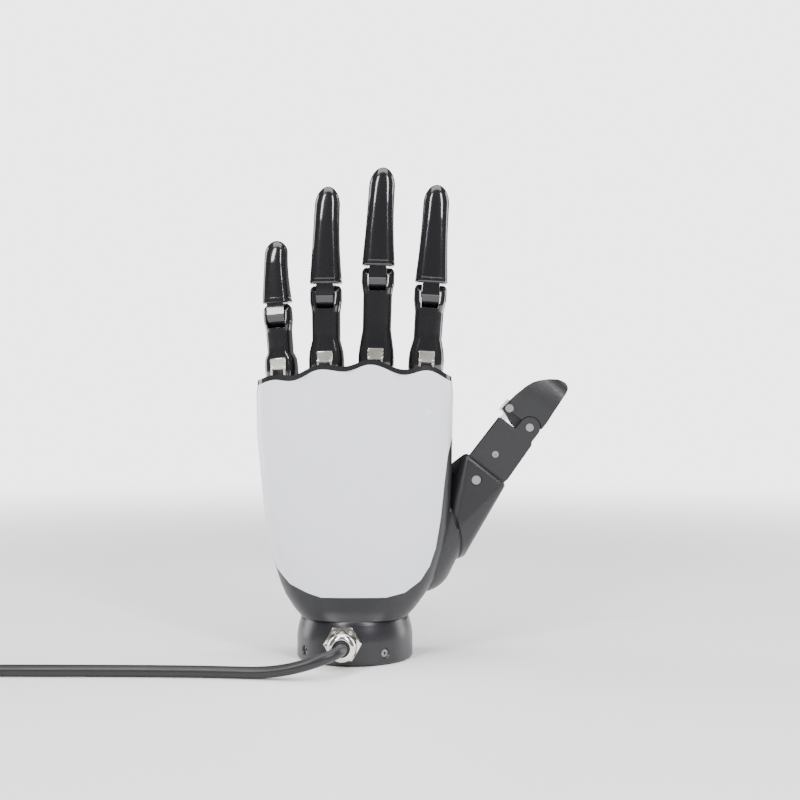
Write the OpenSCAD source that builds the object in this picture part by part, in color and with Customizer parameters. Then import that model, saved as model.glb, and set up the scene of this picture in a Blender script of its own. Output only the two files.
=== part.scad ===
/* [Wrist] */
// Outer radius of the wrist ring
wrist_r = 23; // [22:0.5:26]
// Height of the wrist ring
wrist_h = 17; // [15:0.5:20]
// Radius of the ring where it meets the palm
neck_r = 21.2; // [19:0.2:22]
// Radius of the socket that takes the forearm adaptor
socket_r = 17.5; // [15:0.5:18]
// Depth of the socket
socket_depth = 9; // [7:0.5:10]
// Radius of the four clamping screws
clamp_screw_r = 1.5; // [1:0.1:2]

/* [Palm] */
// Width of the palm at the knuckles
palm_w = 78; // [70:1:94]
// Depth from the thickest point of the palm to the hinge plane
palm_depth = 19; // [17:0.5:22]
// Depth of the back of the hand above the hinge plane
back_depth = 17; // [16:0.5:20]
// Wall of the cover and of the palm shell
shell_wall = 2; // [1.5:0.1:2.4]
// Thickness of the rim between covers and fingers
rim_h = 1.9; // [1.5:0.1:2.5]

/* [Fingers] */
// Radius of the knuckle pins
knuckle_pin_r = 1.5; // [1:0.1:1.8]
// Radius of the middle joint pins
middle_pin_r = 1.2; // [1:0.1:1.4]
// Thickness of a finger at its base, back to pad
finger_depth = 12.6; // [11:0.2:13]
// Half the thickness of the tongue that each fingertip hinges on
tongue_half = 3.4; // [2.6:0.1:3.6]
// Crank radius of the lever that the push rod turns
crank_r = 6.5; // [5.5:0.1:7]
// Bend of the knuckle and of the middle joint, in degrees
finger_bend = 78; // [60:1:80]

/* [Thumb] */
// Radius of the turning joint between palm and thumb
seat_r = 13.5; // [12:0.5:14]
// Width of the thumb housing across the palm, at its mouth
housing_depth = 18; // [17.2:0.2:20]
// Thickness of the thumb links
thumb_depth = 13; // [11:0.2:13.4]
// Radius of the thumb's flexion pin
flex_pin_r = 1.8; // [1.2:0.1:2.2]
// Radius of the two pins at the thumb's tip joint
tip_pin_r = 1.6; // [1.2:0.1:1.8]

/* [Cable] */
// Diameter of the cable
cable_d = 4.4; // [4:0.1:4.6]
// Hexagon of the gland, across flats
gland_hex = 12.6; // [11.6:0.2:13]

/* [Hidden] */
$fn = 48;

// Radial clearance of a pin in the piece that turns on it
run = 0.05;
// Gap between pieces of different bodies
gap = 0.35;
// A cut runs this far past the face that it opens
past = 1;

// Colours
black = [0.06, 0.06, 0.07];
graphite = [0.14, 0.14, 0.16];
pearl = [0.82, 0.82, 0.87];
nickel = [0.75, 0.75, 0.73];
steel = [0.5, 0.5, 0.52];

// Each finger: name, knuckle x, knuckle z, lean, yaw, length of first link, length of fingertip,
// half width at the knuckle, sideways curve of the tip
index = ["index", 27.9, 108.3, 3.7, 0, 36.1, 44.3, 6.8, 0];
middle = ["middle", 8.2, 109.4, 1.4, 2, 41.8, 44.4, 6.8, 1];
ring = ["ring", -11.4, 108.3, -0.5, 4, 35.7, 43.8, 6.6, 1.2];
pinky = ["pinky", -28.9, 105.6, -3.8, 8, 30.8, 29.6, 5.9, 1.2];
FINGERS = [index, middle, ring, pinky];
function link_l(f) = f[5];
function tip_l(f) = f[6];
function half_w(f) = f[7];
function curve(f) = f[8];

// The knuckle line lies a little to the palm side of the hinge plane
knuckle_y = 2.5;

// Places children in a finger's frame: x along the hinge, y to the palm, z to the fingertip
module at_knuckle(f) {
  translate([f[1], knuckle_y, f[2]]) rotate([0, f[3], 0]) rotate([0, 0, -f[4]]) children();
}

// Rises and falls smoothly between the points of a table, level at each of them
function ease(v, t) =
  let (i = max([for (k = [0:len(t) - 2]) if (k == 0 || v >= t[k][0]) k]))
  let (f = max(0, min(1, (v - t[i][0]) / (t[i + 1][0] - t[i][0]))))
  t[i][1] + (t[i + 1][1] - t[i][1]) * (1 - cos(180 * f)) / 2;

// ---- Palm outline: half width to each side, and depth to each face, against height ----
w = palm_w / 78;
palm_left = [[17, 21.2], [20, 24], [25, 27.4], [30, 29.6], [35, 31.2], [45, 34], [58, 36],
  [75, 37.8], [88, 39], [104, 39.3], [119, 38]];
palm_right = [[17, 21.2], [20, 24.2], [25, 28], [31, 31.6], [42, 35.4], [50, 37.2], [62, 38.2],
  [75, 38.7], [90, 39], [104, 39.3], [119, 38]];
palm_back = [[17, 21], [20, 19.6], [25, 18.4], [32, 17.6], [50, 17], [70, 16.6], [90, 15],
  [104, 13.2], [119, 12]];
palm_front = [[17, 21], [20, 21], [26, 20.6], [36, 19.8], [50, 19], [70, 17], [90, 14.6],
  [104, 12.6], [119, 11]];
// Height of the cover's top edge across the hand: one crest for each knuckle
crest = [[-41, 107.6], [-31, 110], [-25.5, 109.5], [-12.6, 114], [-4, 113.2], [6.5, 115.9],
  [20, 112], [28.5, 113.7], [41, 109]];
levels = [17, 18.5, 21, 25, 30, 36, 44, 54, 66, 78, 90, 100, 108, 114, 119];
around = 48;
// Squareness of the section: 2 is an ellipse
squareness = 2.7;

function power(v) = sign(v) * pow(abs(v), 2 / squareness);
function palm_point(z, k, inset) =
  let (a = 360 * k / around, c = cos(a), s = sin(a))
  let (half = w * lookup(z, c < 0 ? palm_left : palm_right) - inset)
  let (deep = s < 0 ? lookup(z, palm_back) * back_depth / 17 - inset
                    : lookup(z, palm_front) * palm_depth / 19 - inset)
  [half * power(c), deep * power(s), z];

// Solid of the palm, inset from its outer surface
module palm_solid(inset, heights) {
  n = len(heights);
  points = [for (z = heights) for (k = [0:around - 1]) palm_point(z, k, inset)];
  sides = [for (j = [0:n - 2]) for (k = [0:around - 1])
    let (a = j * around + k, b = j * around + (k + 1) % around)
    each [[a, b + around, b], [a, a + around, b + around]]];
  low = [for (k = [0:around - 1]) k];
  high = [for (k = [around - 1:-1:0]) (n - 1) * around + k];
  polyhedron(points, concat([low], sides, [high]));
}

// Front outline of the cover below its scalloped edge, thumb side first
cover_edge = [[42, 88], [38.6, 87], [36.8, 80], [35.4, 69], [34, 56], [32, 44], [29.6, 37], [26, 31.6],
  [20, 27.4], [12, 25.6], [-7, 25.6], [-18, 27.4], [-25, 30.4], [-30.6, 36], [-34.4, 46], [-37.2, 64],
  [-38.4, 80], [-42, 81]];
module cover_outline(grow, rise) {
  top = [for (x = [-42:1.5:42]) [x * w, ease(x, crest) + rise]];
  polygon(concat(top, [for (p = cover_edge) [p[0] * w, p[1]]]));
}
// The hinge plane parts the cover from the palm shell at the sides
module cover_zone(grow, rise) {
  translate([0, grow, 0]) rotate([90, 0, 0]) linear_extrude(60) cover_outline(grow, rise);
}
// The palm side is cut down so that the fingers can bend over its edge
palm_top = 96.5;
module palm_cut(height) {
  rotate([90, 0, 90]) translate([0, 0, -60]) linear_extrude(120)
    polygon([[40, height], [9, height], [-1, height + 12], [-1, 140], [40, 140]]);
}

// ---- Thumb: turning axis, seat and flexion frame ----
seat = [36, 8, 50];
seat_tilt = 15;
seat_yaw = 25;
flex_pivot = [48.5, 8, 70];
thumb_lean = 38;
seam_back = 0.9;
shaft_r = 3;
motor_r = 6;
module at_seat() {
  translate(seat) rotate([0, -seat_tilt, seat_yaw]) rotate([0, 90, 0]) children();
}
module at_flex() {
  translate(flex_pivot) rotate([0, thumb_lean, 0]) children();
}
// Extrudes a profile in a link's own x-z plane, centred across its thickness
module across_y(depth) {
  rotate([90, 0, 0]) linear_extrude(depth, center = true) children();
}
// Extrudes a profile in a link's own y-z plane, centred across its width
module across_x(width) {
  rotate([90, 0, 90]) linear_extrude(width, center = true) children();
}
module pin_x(r, half) {
  rotate([0, 90, 0]) cylinder(r = r, h = 2 * half, center = true);
}
module pin_y(r, half) {
  rotate([90, 0, 0]) cylinder(r = r, h = 2 * half, center = true);
}
module thenar() {
  hull() {
    translate([25.6, 5.5, 38.2]) sphere(r = 13.8, $fn = 32);
    at_seat() translate([0, 0, -seam_back - 1]) cylinder(r = seat_r - 0.5, h = 1.5, $fn = 32);
  }
}

// ---- Wrist ----
ring_corner = 1;
clamp_z = 4.5;
clamp_turn = [-57, 33, 123, 213];
gland_x = -3.8;
gland_z = 9.5;
gland_r = 4;
module at_gland() {
  translate([gland_x, 0, gland_z]) rotate([90, 0, 0]) children();
}
module wrist_ring() color(graphite) {
  wall_top = 9;
  difference() {
    rotate_extrude($fn = 96) polygon([
      [socket_r, 0], [wrist_r - ring_corner, 0], [wrist_r, ring_corner], [wrist_r, wall_top],
      [wrist_r - 0.35, wall_top + 3], [neck_r + 0.5, wrist_h - 2], [neck_r, wrist_h], [8, wrist_h],
      [8, socket_depth], [socket_r, socket_depth]]);
    for (a = clamp_turn) rotate([0, 0, a - 90])
      translate([socket_r - past, 0, clamp_z]) rotate([0, 90, 0]) cylinder(r = clamp_screw_r, h = 10);
    at_gland() translate([0, 0, 6]) cylinder(r = gland_r, h = 30);
  }
}
module wrist_screws() color(steel) {
  screw_l = wrist_r - socket_r - 1;
  for (a = clamp_turn) rotate([0, 0, a - 90]) translate([socket_r + 0.1, 0, clamp_z]) rotate([0, 90, 0])
    difference() {
      cylinder(r = clamp_screw_r, h = screw_l);
      translate([0, 0, screw_l - 1]) cylinder(r = clamp_screw_r / 2, h = past + 1, $fn = 6);
    }
}

// ---- Cable and gland ----
gland_face = 23.6;
hex_h = 4;
nut_h = 8;
cable_exit = 36;
module gland_body() color(nickel) at_gland() difference() {
  union() {
    translate([0, 0, socket_r + 0.3]) cylinder(r = gland_r, h = gland_face - socket_r);
    translate([0, 0, gland_face]) cylinder(d = gland_hex / cos(30), h = hex_h, $fn = 6);
    translate([0, 0, gland_face + hex_h]) cylinder(r = gland_r, h = 3);
  }
  cylinder(d = cable_d, h = 60);
}
module gland_nut() color(nickel) at_gland() difference() {
  translate([0, 0, gland_face + hex_h]) rotate_extrude() polygon([
    [0, 0], [5.9, 0], [5.9, 4.4], [5.6, 5.8], [4.8, 7.2], [3.8, nut_h], [0, nut_h]]);
  translate([0, 0, gland_face]) cylinder(r = gland_r, h = hex_h + 3);
  translate([0, 0, gland_face + hex_h]) cylinder(d = cable_d + 1.6, h = nut_h + past);
}
module gland_seal() color(black) at_gland() difference() {
  translate([0, 0, gland_face + hex_h + 3]) cylinder(d = cable_d + 1.6, h = cable_exit - gland_face - hex_h - 3);
  cylinder(d = cable_d, h = 60);
}
// Route of the cable: out of the gland, down to the ground and along it to the coil
route = [[-3.8, -34, 9.5], [-3.8, -37, 9.5], [-4.8, -40, 9.1], [-7.5, -42.5, 8.2], [-12, -44, 6.8],
  [-18, -44.4, 5], [-25, -43.8, 3.4], [-33, -42.6, 2.4], [-42, -41.4, 2.2], [-52, -40.4, 2.2],
  [-64, -39.6, 2.2], [-78, -39, 2.2], [-94, -38.6, 2.2], [-112, -38.4, 2.2], [-130, -38.2, 2.2],
  [-148, -38, 2.2], [-166, -38, 2.2], [-182, -38, 2.2]];
tube_sides = 8;
function step(i) = route[min(i + 1, len(route) - 1)] - route[max(i - 1, 0)];
function unit(v) = v / norm(v);
module cable() color(black) {
  n = len(route);
  r = cable_d / 2;
  points = [for (i = [0:n - 1])
    let (t = unit(step(i)), b = unit(cross(t, [0, 0, 1])), u = cross(b, t))
    for (k = [0:tube_sides - 1])
      let (a = 360 * (k + 0.5) / tube_sides) route[i] + r * (cos(a) * b + sin(a) * u)];
  sides = [for (i = [0:n - 2]) for (k = [0:tube_sides - 1]) let (m = (k + 1) % tube_sides)
    [i * tube_sides + k, (i + 1) * tube_sides + k, (i + 1) * tube_sides + m, i * tube_sides + m]];
  low = [for (k = [0:tube_sides - 1]) k];
  high = [for (k = [tube_sides - 1:-1:0]) (n - 1) * tube_sides + k];
  polyhedron(points, concat([low], sides, [high]));
}
coil_centre = [-190, -8.8, 0];
coil_mid_r = 24.8;
coil_layers = 4;
module cable_coil() color(black) translate(coil_centre) rotate_extrude($fn = 72)
  translate([coil_mid_r - cable_d * 1.5, 0]) square([cable_d * 3, cable_d * coil_layers]);
connector_r = 6;
module cable_connector() color(graphite)
  translate(coil_centre + [-14, 0, connector_r]) rotate([0, 90, 0]) difference() {
    union() {
      cylinder(r = connector_r, h = 16);
      translate([0, 0, 16]) cylinder(r = 4.5, h = 8);
      translate([0, 0, 24]) cylinder(r = 3, h = coil_mid_r - cable_d * 1.5 - 10 + 0.6);
    }
    translate([0, 0, -past]) cylinder(r = 4.6, h = 7);
  }

// ---- Fingers ----
heel_r = finger_depth / 2;
lever_half = 3.1;
lever_plate = 1;
slot_half = lever_half + 0.05;
crank_pin_r = 1;
crank_y = -crank_r * cos(finger_bend / 2);
crank_z = -crank_r * sin(finger_bend / 2);
rod_r = 2;
rod_half = lever_half - lever_plate - gap / 2;
lug_w = 1.3;
lug_r = 2.9;
rod_wall = 1;
// How far the push rod's eye reaches to the back of the hand
rod_reach = crank_r + crank_pin_r + gap + rod_wall;
ear_r = 3.9;
coupler_r = 1.2;
link_crank = 4.2;
link_y = link_crank * cos(finger_bend / 2);
link_z = link_crank * sin(finger_bend / 2);
coupler_y = (link_y + link_crank) / 2;
coupler_pin_r = 0.8;
coupler_half = 1.2;
// The coupler's eye is a slot across its stroke, which takes the swing of the tip's crank
eye_r = coupler_pin_r + 0.3;
eye_lo = link_y - eye_r;
eye_hi = link_crank + eye_r;
eye_wall = 0.5;
tongue_r = link_crank + coupler_pin_r + 0.3;
tip_gap = 4.4;
heel_web = 2.2;
heel_corner = 0.6;
window_top = 13.4;
flange_h = 1.8;
waist = 0.6;

// Side profile of a first link: round heel, full middle, cut back under the middle joint
module link_side(f) {
  l = link_l(f);
  h = heel_r;
  polygon(concat([for (a = [0:-12:-180]) [h * cos(a), h * sin(a)]], [[-h - 0.2, 8], [-h + 0.5, l * 0.55], [-h + 0.7, l - 4], [-4.6, l + 1], [-2.4, l + ear_r - 0.8],
    [0, l + ear_r], [2.4, l + 3], [ear_r, l], [ear_r, l - 5], [h - 0.6, l - 11], [h, 12]]));
}
// Front profile: flared foot, waist, and shoulders at the middle joint
module link_front(f) {
  l = link_l(f);
  b = half_w(f);
  foot = b + 0.3;
  ear = b - 0.3;
  polygon([[-b, -heel_r], [b, -heel_r], [b, 4.6], [foot, 6], [foot, 10], [b - waist, l * 0.5],
    [b - waist + 0.2, l - 7], [ear - 0.4, l - 3.4], [ear, l - 2.6], [ear, l + 2.4], [ear - 0.8, l + ear_r],
    [-ear + 0.8, l + ear_r], [-ear, l + 2.4], [-ear, l - 2.6], [-ear + 0.4, l - 3.4],
    [-b + waist - 0.2, l - 7], [-b + waist, l * 0.5], [-foot, 10], [-foot, 6], [-b, 4.6]]);
}
module proximal(f) {
  l = link_l(f);
  color(black) at_knuckle(f) difference() {
    intersection() {
      across_x(30) link_side(f);
      across_y(30) link_front(f);
    }
    // Knuckle bore and middle joint bore
    pin_x(knuckle_pin_r + run, 20);
    translate([0, 0, l]) pin_x(middle_pin_r, 20);
    // Window for the lever, on the back of the link and round under its heel
    across_x(2 * slot_half) polygon([[-20, -20], [20, -20], [20, -heel_web], [-heel_corner, -heel_web],
      [-heel_web, -heel_corner], [-heel_web, window_top], [-20, window_top]]);
    // Slot for the tongue of the fingertip
    translate([-tongue_half - gap / 2, -20, l - tongue_r - gap]) cube([2 * tongue_half + gap, 40, 20]);
    // Bore for the coupling rod
    translate([0, coupler_y, 3]) cylinder(r = coupler_r + run, h = l);
  }
}
module knuckle_pins() color(steel)
  for (f = FINGERS) at_knuckle(f) pin_x(knuckle_pin_r, half_w(f) + gap + lug_w);
module middle_pin(f) color(steel)
  at_knuckle(f) translate([0, 0, link_l(f)]) pin_x(middle_pin_r, half_w(f) - 0.5);
module lever(f) color(nickel) at_knuckle(f) {
  difference() {
    union() {
      for (s = [-1, 1]) translate([s * (lever_half - lever_plate / 2), 0, 0])
        across_x(lever_plate) union() {
          translate([crank_y, crank_z]) circle(r = 2.2);
          polygon([[crank_y - 2, crank_z], [crank_y + 2, crank_z], [-2.2, -1], [-2.2, 12.6], [-4, 12.6],
            [-4, 10], [-7.2, 9.4], [-7.2, 4]]);
        }
      translate([-lever_half, -6.4, 8.6]) cube([2 * lever_half, 4.2, 4.4]);
    }
    translate([0, -5, 11.4]) pin_x(0.7, 2);
  }
  translate([0, crank_y, crank_z]) pin_x(crank_pin_r, lever_half - lever_plate);
}
// The rod's eye is a slot across the stroke, which takes the swing of the crank
module push_rod(f) color(nickel) at_knuckle(f) {
  slot_lo = -crank_r - crank_pin_r - gap;
  slot_hi = crank_y + crank_pin_r + gap;
  translate([0, 0, crank_z]) difference() {
    union() {
      across_x(2 * rod_half) polygon([[-rod_reach, -2.4], [slot_hi + rod_wall, -2.4],
        [slot_hi + rod_wall, 2.2], [-rod_reach, 2.2]]);
      translate([0, rod_y, -rod_len]) cylinder(r = rod_r, h = rod_len - 2);
    }
    across_x(10) {
      translate([slot_lo + crank_pin_r + gap, 0]) circle(r = crank_pin_r + gap);
      translate([slot_hi - crank_pin_r - gap, 0]) circle(r = crank_pin_r + gap);
      translate([slot_lo + crank_pin_r + gap, -crank_pin_r - gap])
        square([slot_hi - slot_lo - 2 * (crank_pin_r + gap), 2 * (crank_pin_r + gap)]);
    }
  }
}
rod_y = (crank_y - crank_r) / 2;
rod_len = 24;
actuator_top = -16;
actuator_l = 34;
actuator_w = 10.6;
actuator_corner = 3.2;
actuator_front = 1.9;
actuator_back = -9.2;
nose_h = 5;
// Square motor unit with a round nose that guides the rod
module actuator(f) color(steel) {
  difference() {
    union() {
      translate([f[1], 0, f[2]]) rotate([0, f[3], 0])
        translate([rod_y * sin(f[4]), 0, actuator_top - actuator_l]) linear_extrude(actuator_l)
          polygon([[-actuator_w / 2, actuator_front], [actuator_w / 2, actuator_front],
            [actuator_w / 2, actuator_back + actuator_corner], [actuator_w / 2 - actuator_corner, actuator_back],
            [actuator_corner - actuator_w / 2, actuator_back], [-actuator_w / 2, actuator_back + actuator_corner]]);
      at_knuckle(f) translate([0, rod_y, actuator_top - 1]) cylinder(r = 4, h = nose_h + 1);
    }
    at_knuckle(f) translate([0, rod_y, actuator_top - 18]) cylinder(r = rod_r + run, h = 40);
  }
}
module coupler(f) color(steel) at_knuckle(f) {
  l = link_l(f);
  difference() {
    union() {
      translate([0, coupler_y, 9.5]) cylinder(r = coupler_r, h = l + link_z - eye_r - 9.5);
      translate([-coupler_half, eye_lo - eye_wall, l + link_z - eye_wall - eye_r])
        cube([2 * coupler_half, eye_hi - eye_lo + 2 * eye_wall, 2 * (eye_wall + eye_r)]);
    }
    translate([-5, eye_lo, l + link_z - eye_r]) cube([10, eye_hi - eye_lo, 2 * eye_r]);
  }
}
// Front and side profiles of a fingertip, against height above the middle joint
steps = [0, 0.12, 0.26, 0.42, 0.58, 0.72, 0.82, 0.89, 0.94, 0.975, 0.994, 1];
function round_end(u, from) = u < from ? 1 : sqrt(max(0, 1 - pow((u - from) / (1 - from), 2)));
function tip_half(f, u) = (half_w(f) - 0.2) * (1 - 0.2 * u - 0.08 * sin(180 * u)) * round_end(u, 0.8);
function tip_mid(f, u) = curve(f) * u * u;
function tip_back(u) = -5.6 + 1.4 * u + 4.2 * (1 - round_end(u, 0.62));
function tip_pad(u) = 5.6 - 0.7 * u - 0.4 * sin(180 * u) - 4.9 * (1 - round_end(u, 0.8));
module tip_body(f, inset) {
  l = tip_l(f) - tip_gap;
  n = len(steps) - 1;
  translate([0, 0, tip_gap]) intersection() {
    across_y(30) offset(delta = -inset) polygon(concat(
      [for (u = steps) [tip_mid(f, u) + tip_half(f, u), l * u]],
      [for (i = [n - 1:-1:0]) let (u = steps[i]) [tip_mid(f, u) - tip_half(f, u), l * u]]));
    across_x(30) offset(delta = -inset) polygon(concat(
      [for (u = steps) [tip_pad(u), l * u]],
      [for (i = [n - 1:-1:0]) let (u = steps[i]) [tip_back(u), l * u]]));
  }
}
module below(height) {
  translate([-20, -20, height - 100]) cube([40, 40, 100]);
}
core_inset = 1.8;
module tip_frame(f) color(black) at_knuckle(f) translate([0, 0, link_l(f)]) {
  difference() {
    union() {
      across_x(2 * tongue_half) union() {
        circle(r = tongue_r);
        translate([-tongue_r + 0.6, 0]) square([2 * tongue_r - 1.2, tip_gap + 1]);
      }
      intersection() {
        tip_body(f, 0);
        below(tip_gap + flange_h);
      }
      intersection() {
        tip_body(f, core_inset);
        below(tip_gap + tip_l(f) * 0.62);
      }
    }
    pin_x(middle_pin_r + run, 20);
    translate([-coupler_half - gap / 2, -0.4, -10]) cube([2 * coupler_half + gap, 10, 10 + link_z + 4.2]);
  }
  translate([0, link_y, link_z]) pin_x(coupler_pin_r, tongue_half - 0.5);
}
module tip_cover(f) color(black) at_knuckle(f) translate([0, 0, link_l(f)]) difference() {
  tip_body(f, 0);
  below(tip_gap + flange_h);
  intersection() {
    tip_body(f, core_inset);
    below(tip_gap + tip_l(f) * 0.62);
  }
}

// ---- Palm parts that take the fingers ----
plate_front = 1.9;
plate_back = 4.4;
frame_low = 55;
frame_high = 92;
flange_r = 14;
flange_t = 2.5;
boss_r = 3;
cover_screw_r = 1.2;
screw_places = [[-18, 86], [20, 86], [-14, 60], [-12, 30]];
module finger_slots() {
  for (f = FINGERS) at_knuckle(f)
    translate([-half_w(f) - 0.3 - gap, -rod_reach - gap, -12]) cube([2 * (half_w(f) + 0.3 + gap), 60, 40]);
}
module palm_frame() color(steel) difference() {
  union() {
    translate([-26, plate_front, frame_low]) cube([50, plate_back - plate_front, frame_high - frame_low]);
    translate([-18.6, plate_front, wrist_h]) cube([13.6, plate_back - plate_front, frame_low - wrist_h + 1]);
    translate([0, 0, wrist_h]) cylinder(r = flange_r, h = flange_t);
    for (f = FINGERS) at_knuckle(f) for (s = [-1, 1])
      translate([s * (half_w(f) + gap + lug_w / 2), 0, 0]) across_x(lug_w)
        polygon(concat([for (a = [0:15:180]) [lug_r * cos(a), lug_r * sin(a)]], [[-lug_r, -15], [0.6, -15], [0.6, -5]]));
    for (f = FINGERS) translate([f[1], knuckle_y, f[2]]) rotate([0, f[3], 0])
      translate([-half_w(f) - 1.4, 0, -21]) cube([2 * half_w(f) + 2.8, plate_back - knuckle_y - 0.3, 8]);
    for (p = screw_places) translate([p[0], plate_back - 0.5, p[1]]) rotate([-90, 0, 0])
      cylinder(r = boss_r, h = palm_at(p, shell_wall) - 1.2 - plate_back + 0.5);
  }
  for (f = FINGERS) at_knuckle(f) pin_x(knuckle_pin_r, 12);
  for (f = FINGERS) actuator_space(f);
  for (p = screw_places) translate([p[0], 0, p[1]]) rotate([-90, 0, 0]) cylinder(r = cover_screw_r, h = 40);
  translate([0, 0, wrist_h - past]) cylinder(r = 4, h = 6);
}
// Depth of the palm side's surface, inset, at a place on the hand
function palm_at(p, inset) =
  let (half = w * lookup(p[1], p[0] < 0 ? palm_left : palm_right) - inset)
  (lookup(p[1], palm_front) * palm_depth / 19 - inset)
    * pow(1 - pow(abs(p[0]) / half, squareness), 1 / squareness);
screw_head = 1.2;
liner_inset = 0.2;
module actuator_space(f) {
  at_knuckle(f) translate([0, rod_y, actuator_top - 1]) cylinder(r = 4 + 0.3, h = 40);
}
// Outer form of the thumb housing, and with a margin the recess that it sits in
module housing_form(margin) {
  corner = 2 + margin;
  side = housing_depth / 2 - 2;
  hull() {
    at_seat() translate([0, 0, 0.1 + gap - margin]) cylinder(r = seat_r + margin, h = 2.5 + margin, $fn = 32);
    at_flex() {
      for (y = [-side, side]) for (x = [-7.4, 8.8]) translate([x, y, 4.2]) sphere(r = corner, $fn = 24);
      translate([-9.6, 5, -4.6]) sphere(r = corner + 0.6, $fn = 24);
    }
  }
}
// Room for the housing's upper corner, which sweeps over the palm's edge as the thumb turns
sweep_low = [-24, -8, 3];
sweep_size = [12, 16, 8];
module palm_shell() color(graphite) difference() {
  union() {
    difference() {
      union() {
        palm_solid(0, levels);
        thenar();
      }
      palm_solid(shell_wall, concat([wrist_h - 2], levels, [121]));
    }
    intersection() {
      palm_solid(liner_inset, levels);
      housing_form(gap + shell_wall);
    }
    at_seat() translate([0, 0, -seam_back - 2]) cylinder(r = seat_r - 0.1, h = 2.6);
  }
  housing_form(gap);
  at_seat() translate(sweep_low) cube(sweep_size);
  cover_zone(0, 60);
  palm_cut(palm_top);
  translate([-60, -60, 105]) cube([120, 120, 40]);
  at_seat() translate([0, 0, -seam_back]) cylinder(r = seat_r + 1.3, h = 2.2);
  at_seat() translate([0, 0, -9]) cylinder(r = shaft_r + 0.2, h = 20);
  at_seat() translate([0, 0, -34]) cylinder(r = motor_r, h = 26);
  for (p = screw_places) translate([p[0], 0, p[1]]) rotate([-90, 0, 0]) {
    cylinder(r = cover_screw_r + 0.2, h = 40);
    translate([0, 0, palm_at(p, 1.6)]) cylinder(r = 2.4, h = 20);
  }
}
module back_cover() color(pearl) difference() {
  intersection() {
    palm_solid(0, levels);
    cover_zone(0, 0);
  }
  palm_solid(shell_wall, concat([wrist_h - 2], levels, [121]));
}
module knuckle_rim() color(black) difference() {
  intersection() {
    palm_solid(0, levels);
    translate([0, 30, 0]) rotate([90, 0, 0]) linear_extrude(60) difference() {
      cover_outline(0, rim_h);
      cover_outline(0, 0);
      translate([-60, 0]) square([120, 90]);
    }
  }
  finger_slots();
  palm_cut(palm_top);
}
module cover_screws() color(steel)
  for (p = screw_places) translate([p[0], 0, p[1]]) rotate([-90, 0, 0]) {
    translate([0, 0, plate_back]) cylinder(r = cover_screw_r, h = palm_at(p, 1.6) - plate_back);
    translate([0, 0, palm_at(p, 1.6)]) cylinder(r = 2.3, h = screw_head);
  }
board_y = -10;
module control_board() color("darkgreen") difference() {
  union() {
    translate([-22, board_y, 30]) cube([24, 1.6, 23]);
    for (x = [-16, -8]) for (z = [33, 50]) translate([x, board_y + 1, z]) rotate([-90, 0, 0])
      cylinder(r = 1.6, h = plate_front - board_y - 1);
    translate([-16, board_y - 1.4, 36]) cube([9, 1.6, 9]);
  }
}

// ---- Thumb ----
mouth_w = 19.5;
cheek = (housing_depth - thumb_depth) / 2 - gap;
module thumb_motor() color(steel) at_seat() {
  translate([0, 0, -30]) cylinder(r = motor_r, h = 22);
  translate([0, 0, -9]) cylinder(r = shaft_r, h = 17);
}
module thumb_seam_ring() color(black) at_seat() difference() {
  translate([0, 0, -seam_back]) cylinder(r = seat_r, h = seam_back + 0.1);
  translate([0, 0, -5]) cylinder(r = 7, h = 10);
}
// The thumb's links turn inside this round space
heel_space = 8.4;
module thumb_housing() color(graphite) difference() {
  housing_form(0);
  at_flex() {
    pin_y(heel_space, thumb_depth / 2 + gap);
    translate([-30, -thumb_depth / 2 - gap, 0]) cube([60, thumb_depth + 2 * gap, 30]);
    translate([-30, -thumb_depth / 2 - gap, -3]) cube([26, thumb_depth + 2 * gap, 30]);
    pin_y(flex_pin_r, 20);
    translate([0, 0, -heel_space - 7]) cylinder(r = 4.5, h = 8);
  }
  at_seat() cylinder(r = shaft_r + run, h = 8.2);
}
module thumb_flex_pin() color(steel) at_flex() pin_y(flex_pin_r, housing_depth / 2 - 0.3);
module thumb_actuator() color(steel) at_flex() difference() {
  translate([0, 0, -heel_space - 7]) cylinder(r = 4.5, h = 7 + heel_space - sqrt(heel_space * heel_space - 20.25));
  pin_y(heel_space, 20);
}
thumb_l = 25.9;
tip_hinge = [4.15, 29.8];
tip_link = [-7, 30.9];
thumb_tongue = 3.3;
thumb_ear_r = 4.2;
link_stroke = 5.5;
module thumb_proximal() color(graphite) at_flex() difference() {
  union() {
    across_y(thumb_depth) union() {
      circle(r = 7.4);
      polygon([[-7.4, 0], [-7.5, thumb_l], [7.3, thumb_l], [9.2, thumb_l - 1.6], [10, 8], [9, 3.4], [7.4, 0]]);
    }
    across_y(thumb_depth) {
      translate(tip_hinge) circle(r = thumb_ear_r);
      translate([tip_hinge[0] - thumb_ear_r, thumb_l - 3]) square([2 * thumb_ear_r, 6.9]);
    }
  }
  pin_y(flex_pin_r + run, 20);
  translate([-20, -thumb_tongue - gap / 2, thumb_l - 7]) cube([40, 2 * thumb_tongue + gap, 30]);
  translate([tip_hinge[0], 0, tip_hinge[1]]) pin_y(tip_pin_r, 20);
  translate([-7.9, -1.6, 4.4]) cube([4, 3.2, 30]);
  translate([screw_x, -20, screw_z]) pin_y(1.3, 20);
}
screw_x = -0.1;
screw_z = 12.8;
module thumb_screw() color(steel) at_flex() translate([screw_x, -thumb_depth / 2 + 2, screw_z])
  difference() {
    pin_y(1.3, 1.9);
    translate([0, -1.9, 0]) pin_y(0.6, 0.8, $fn = 6);
  }
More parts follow.
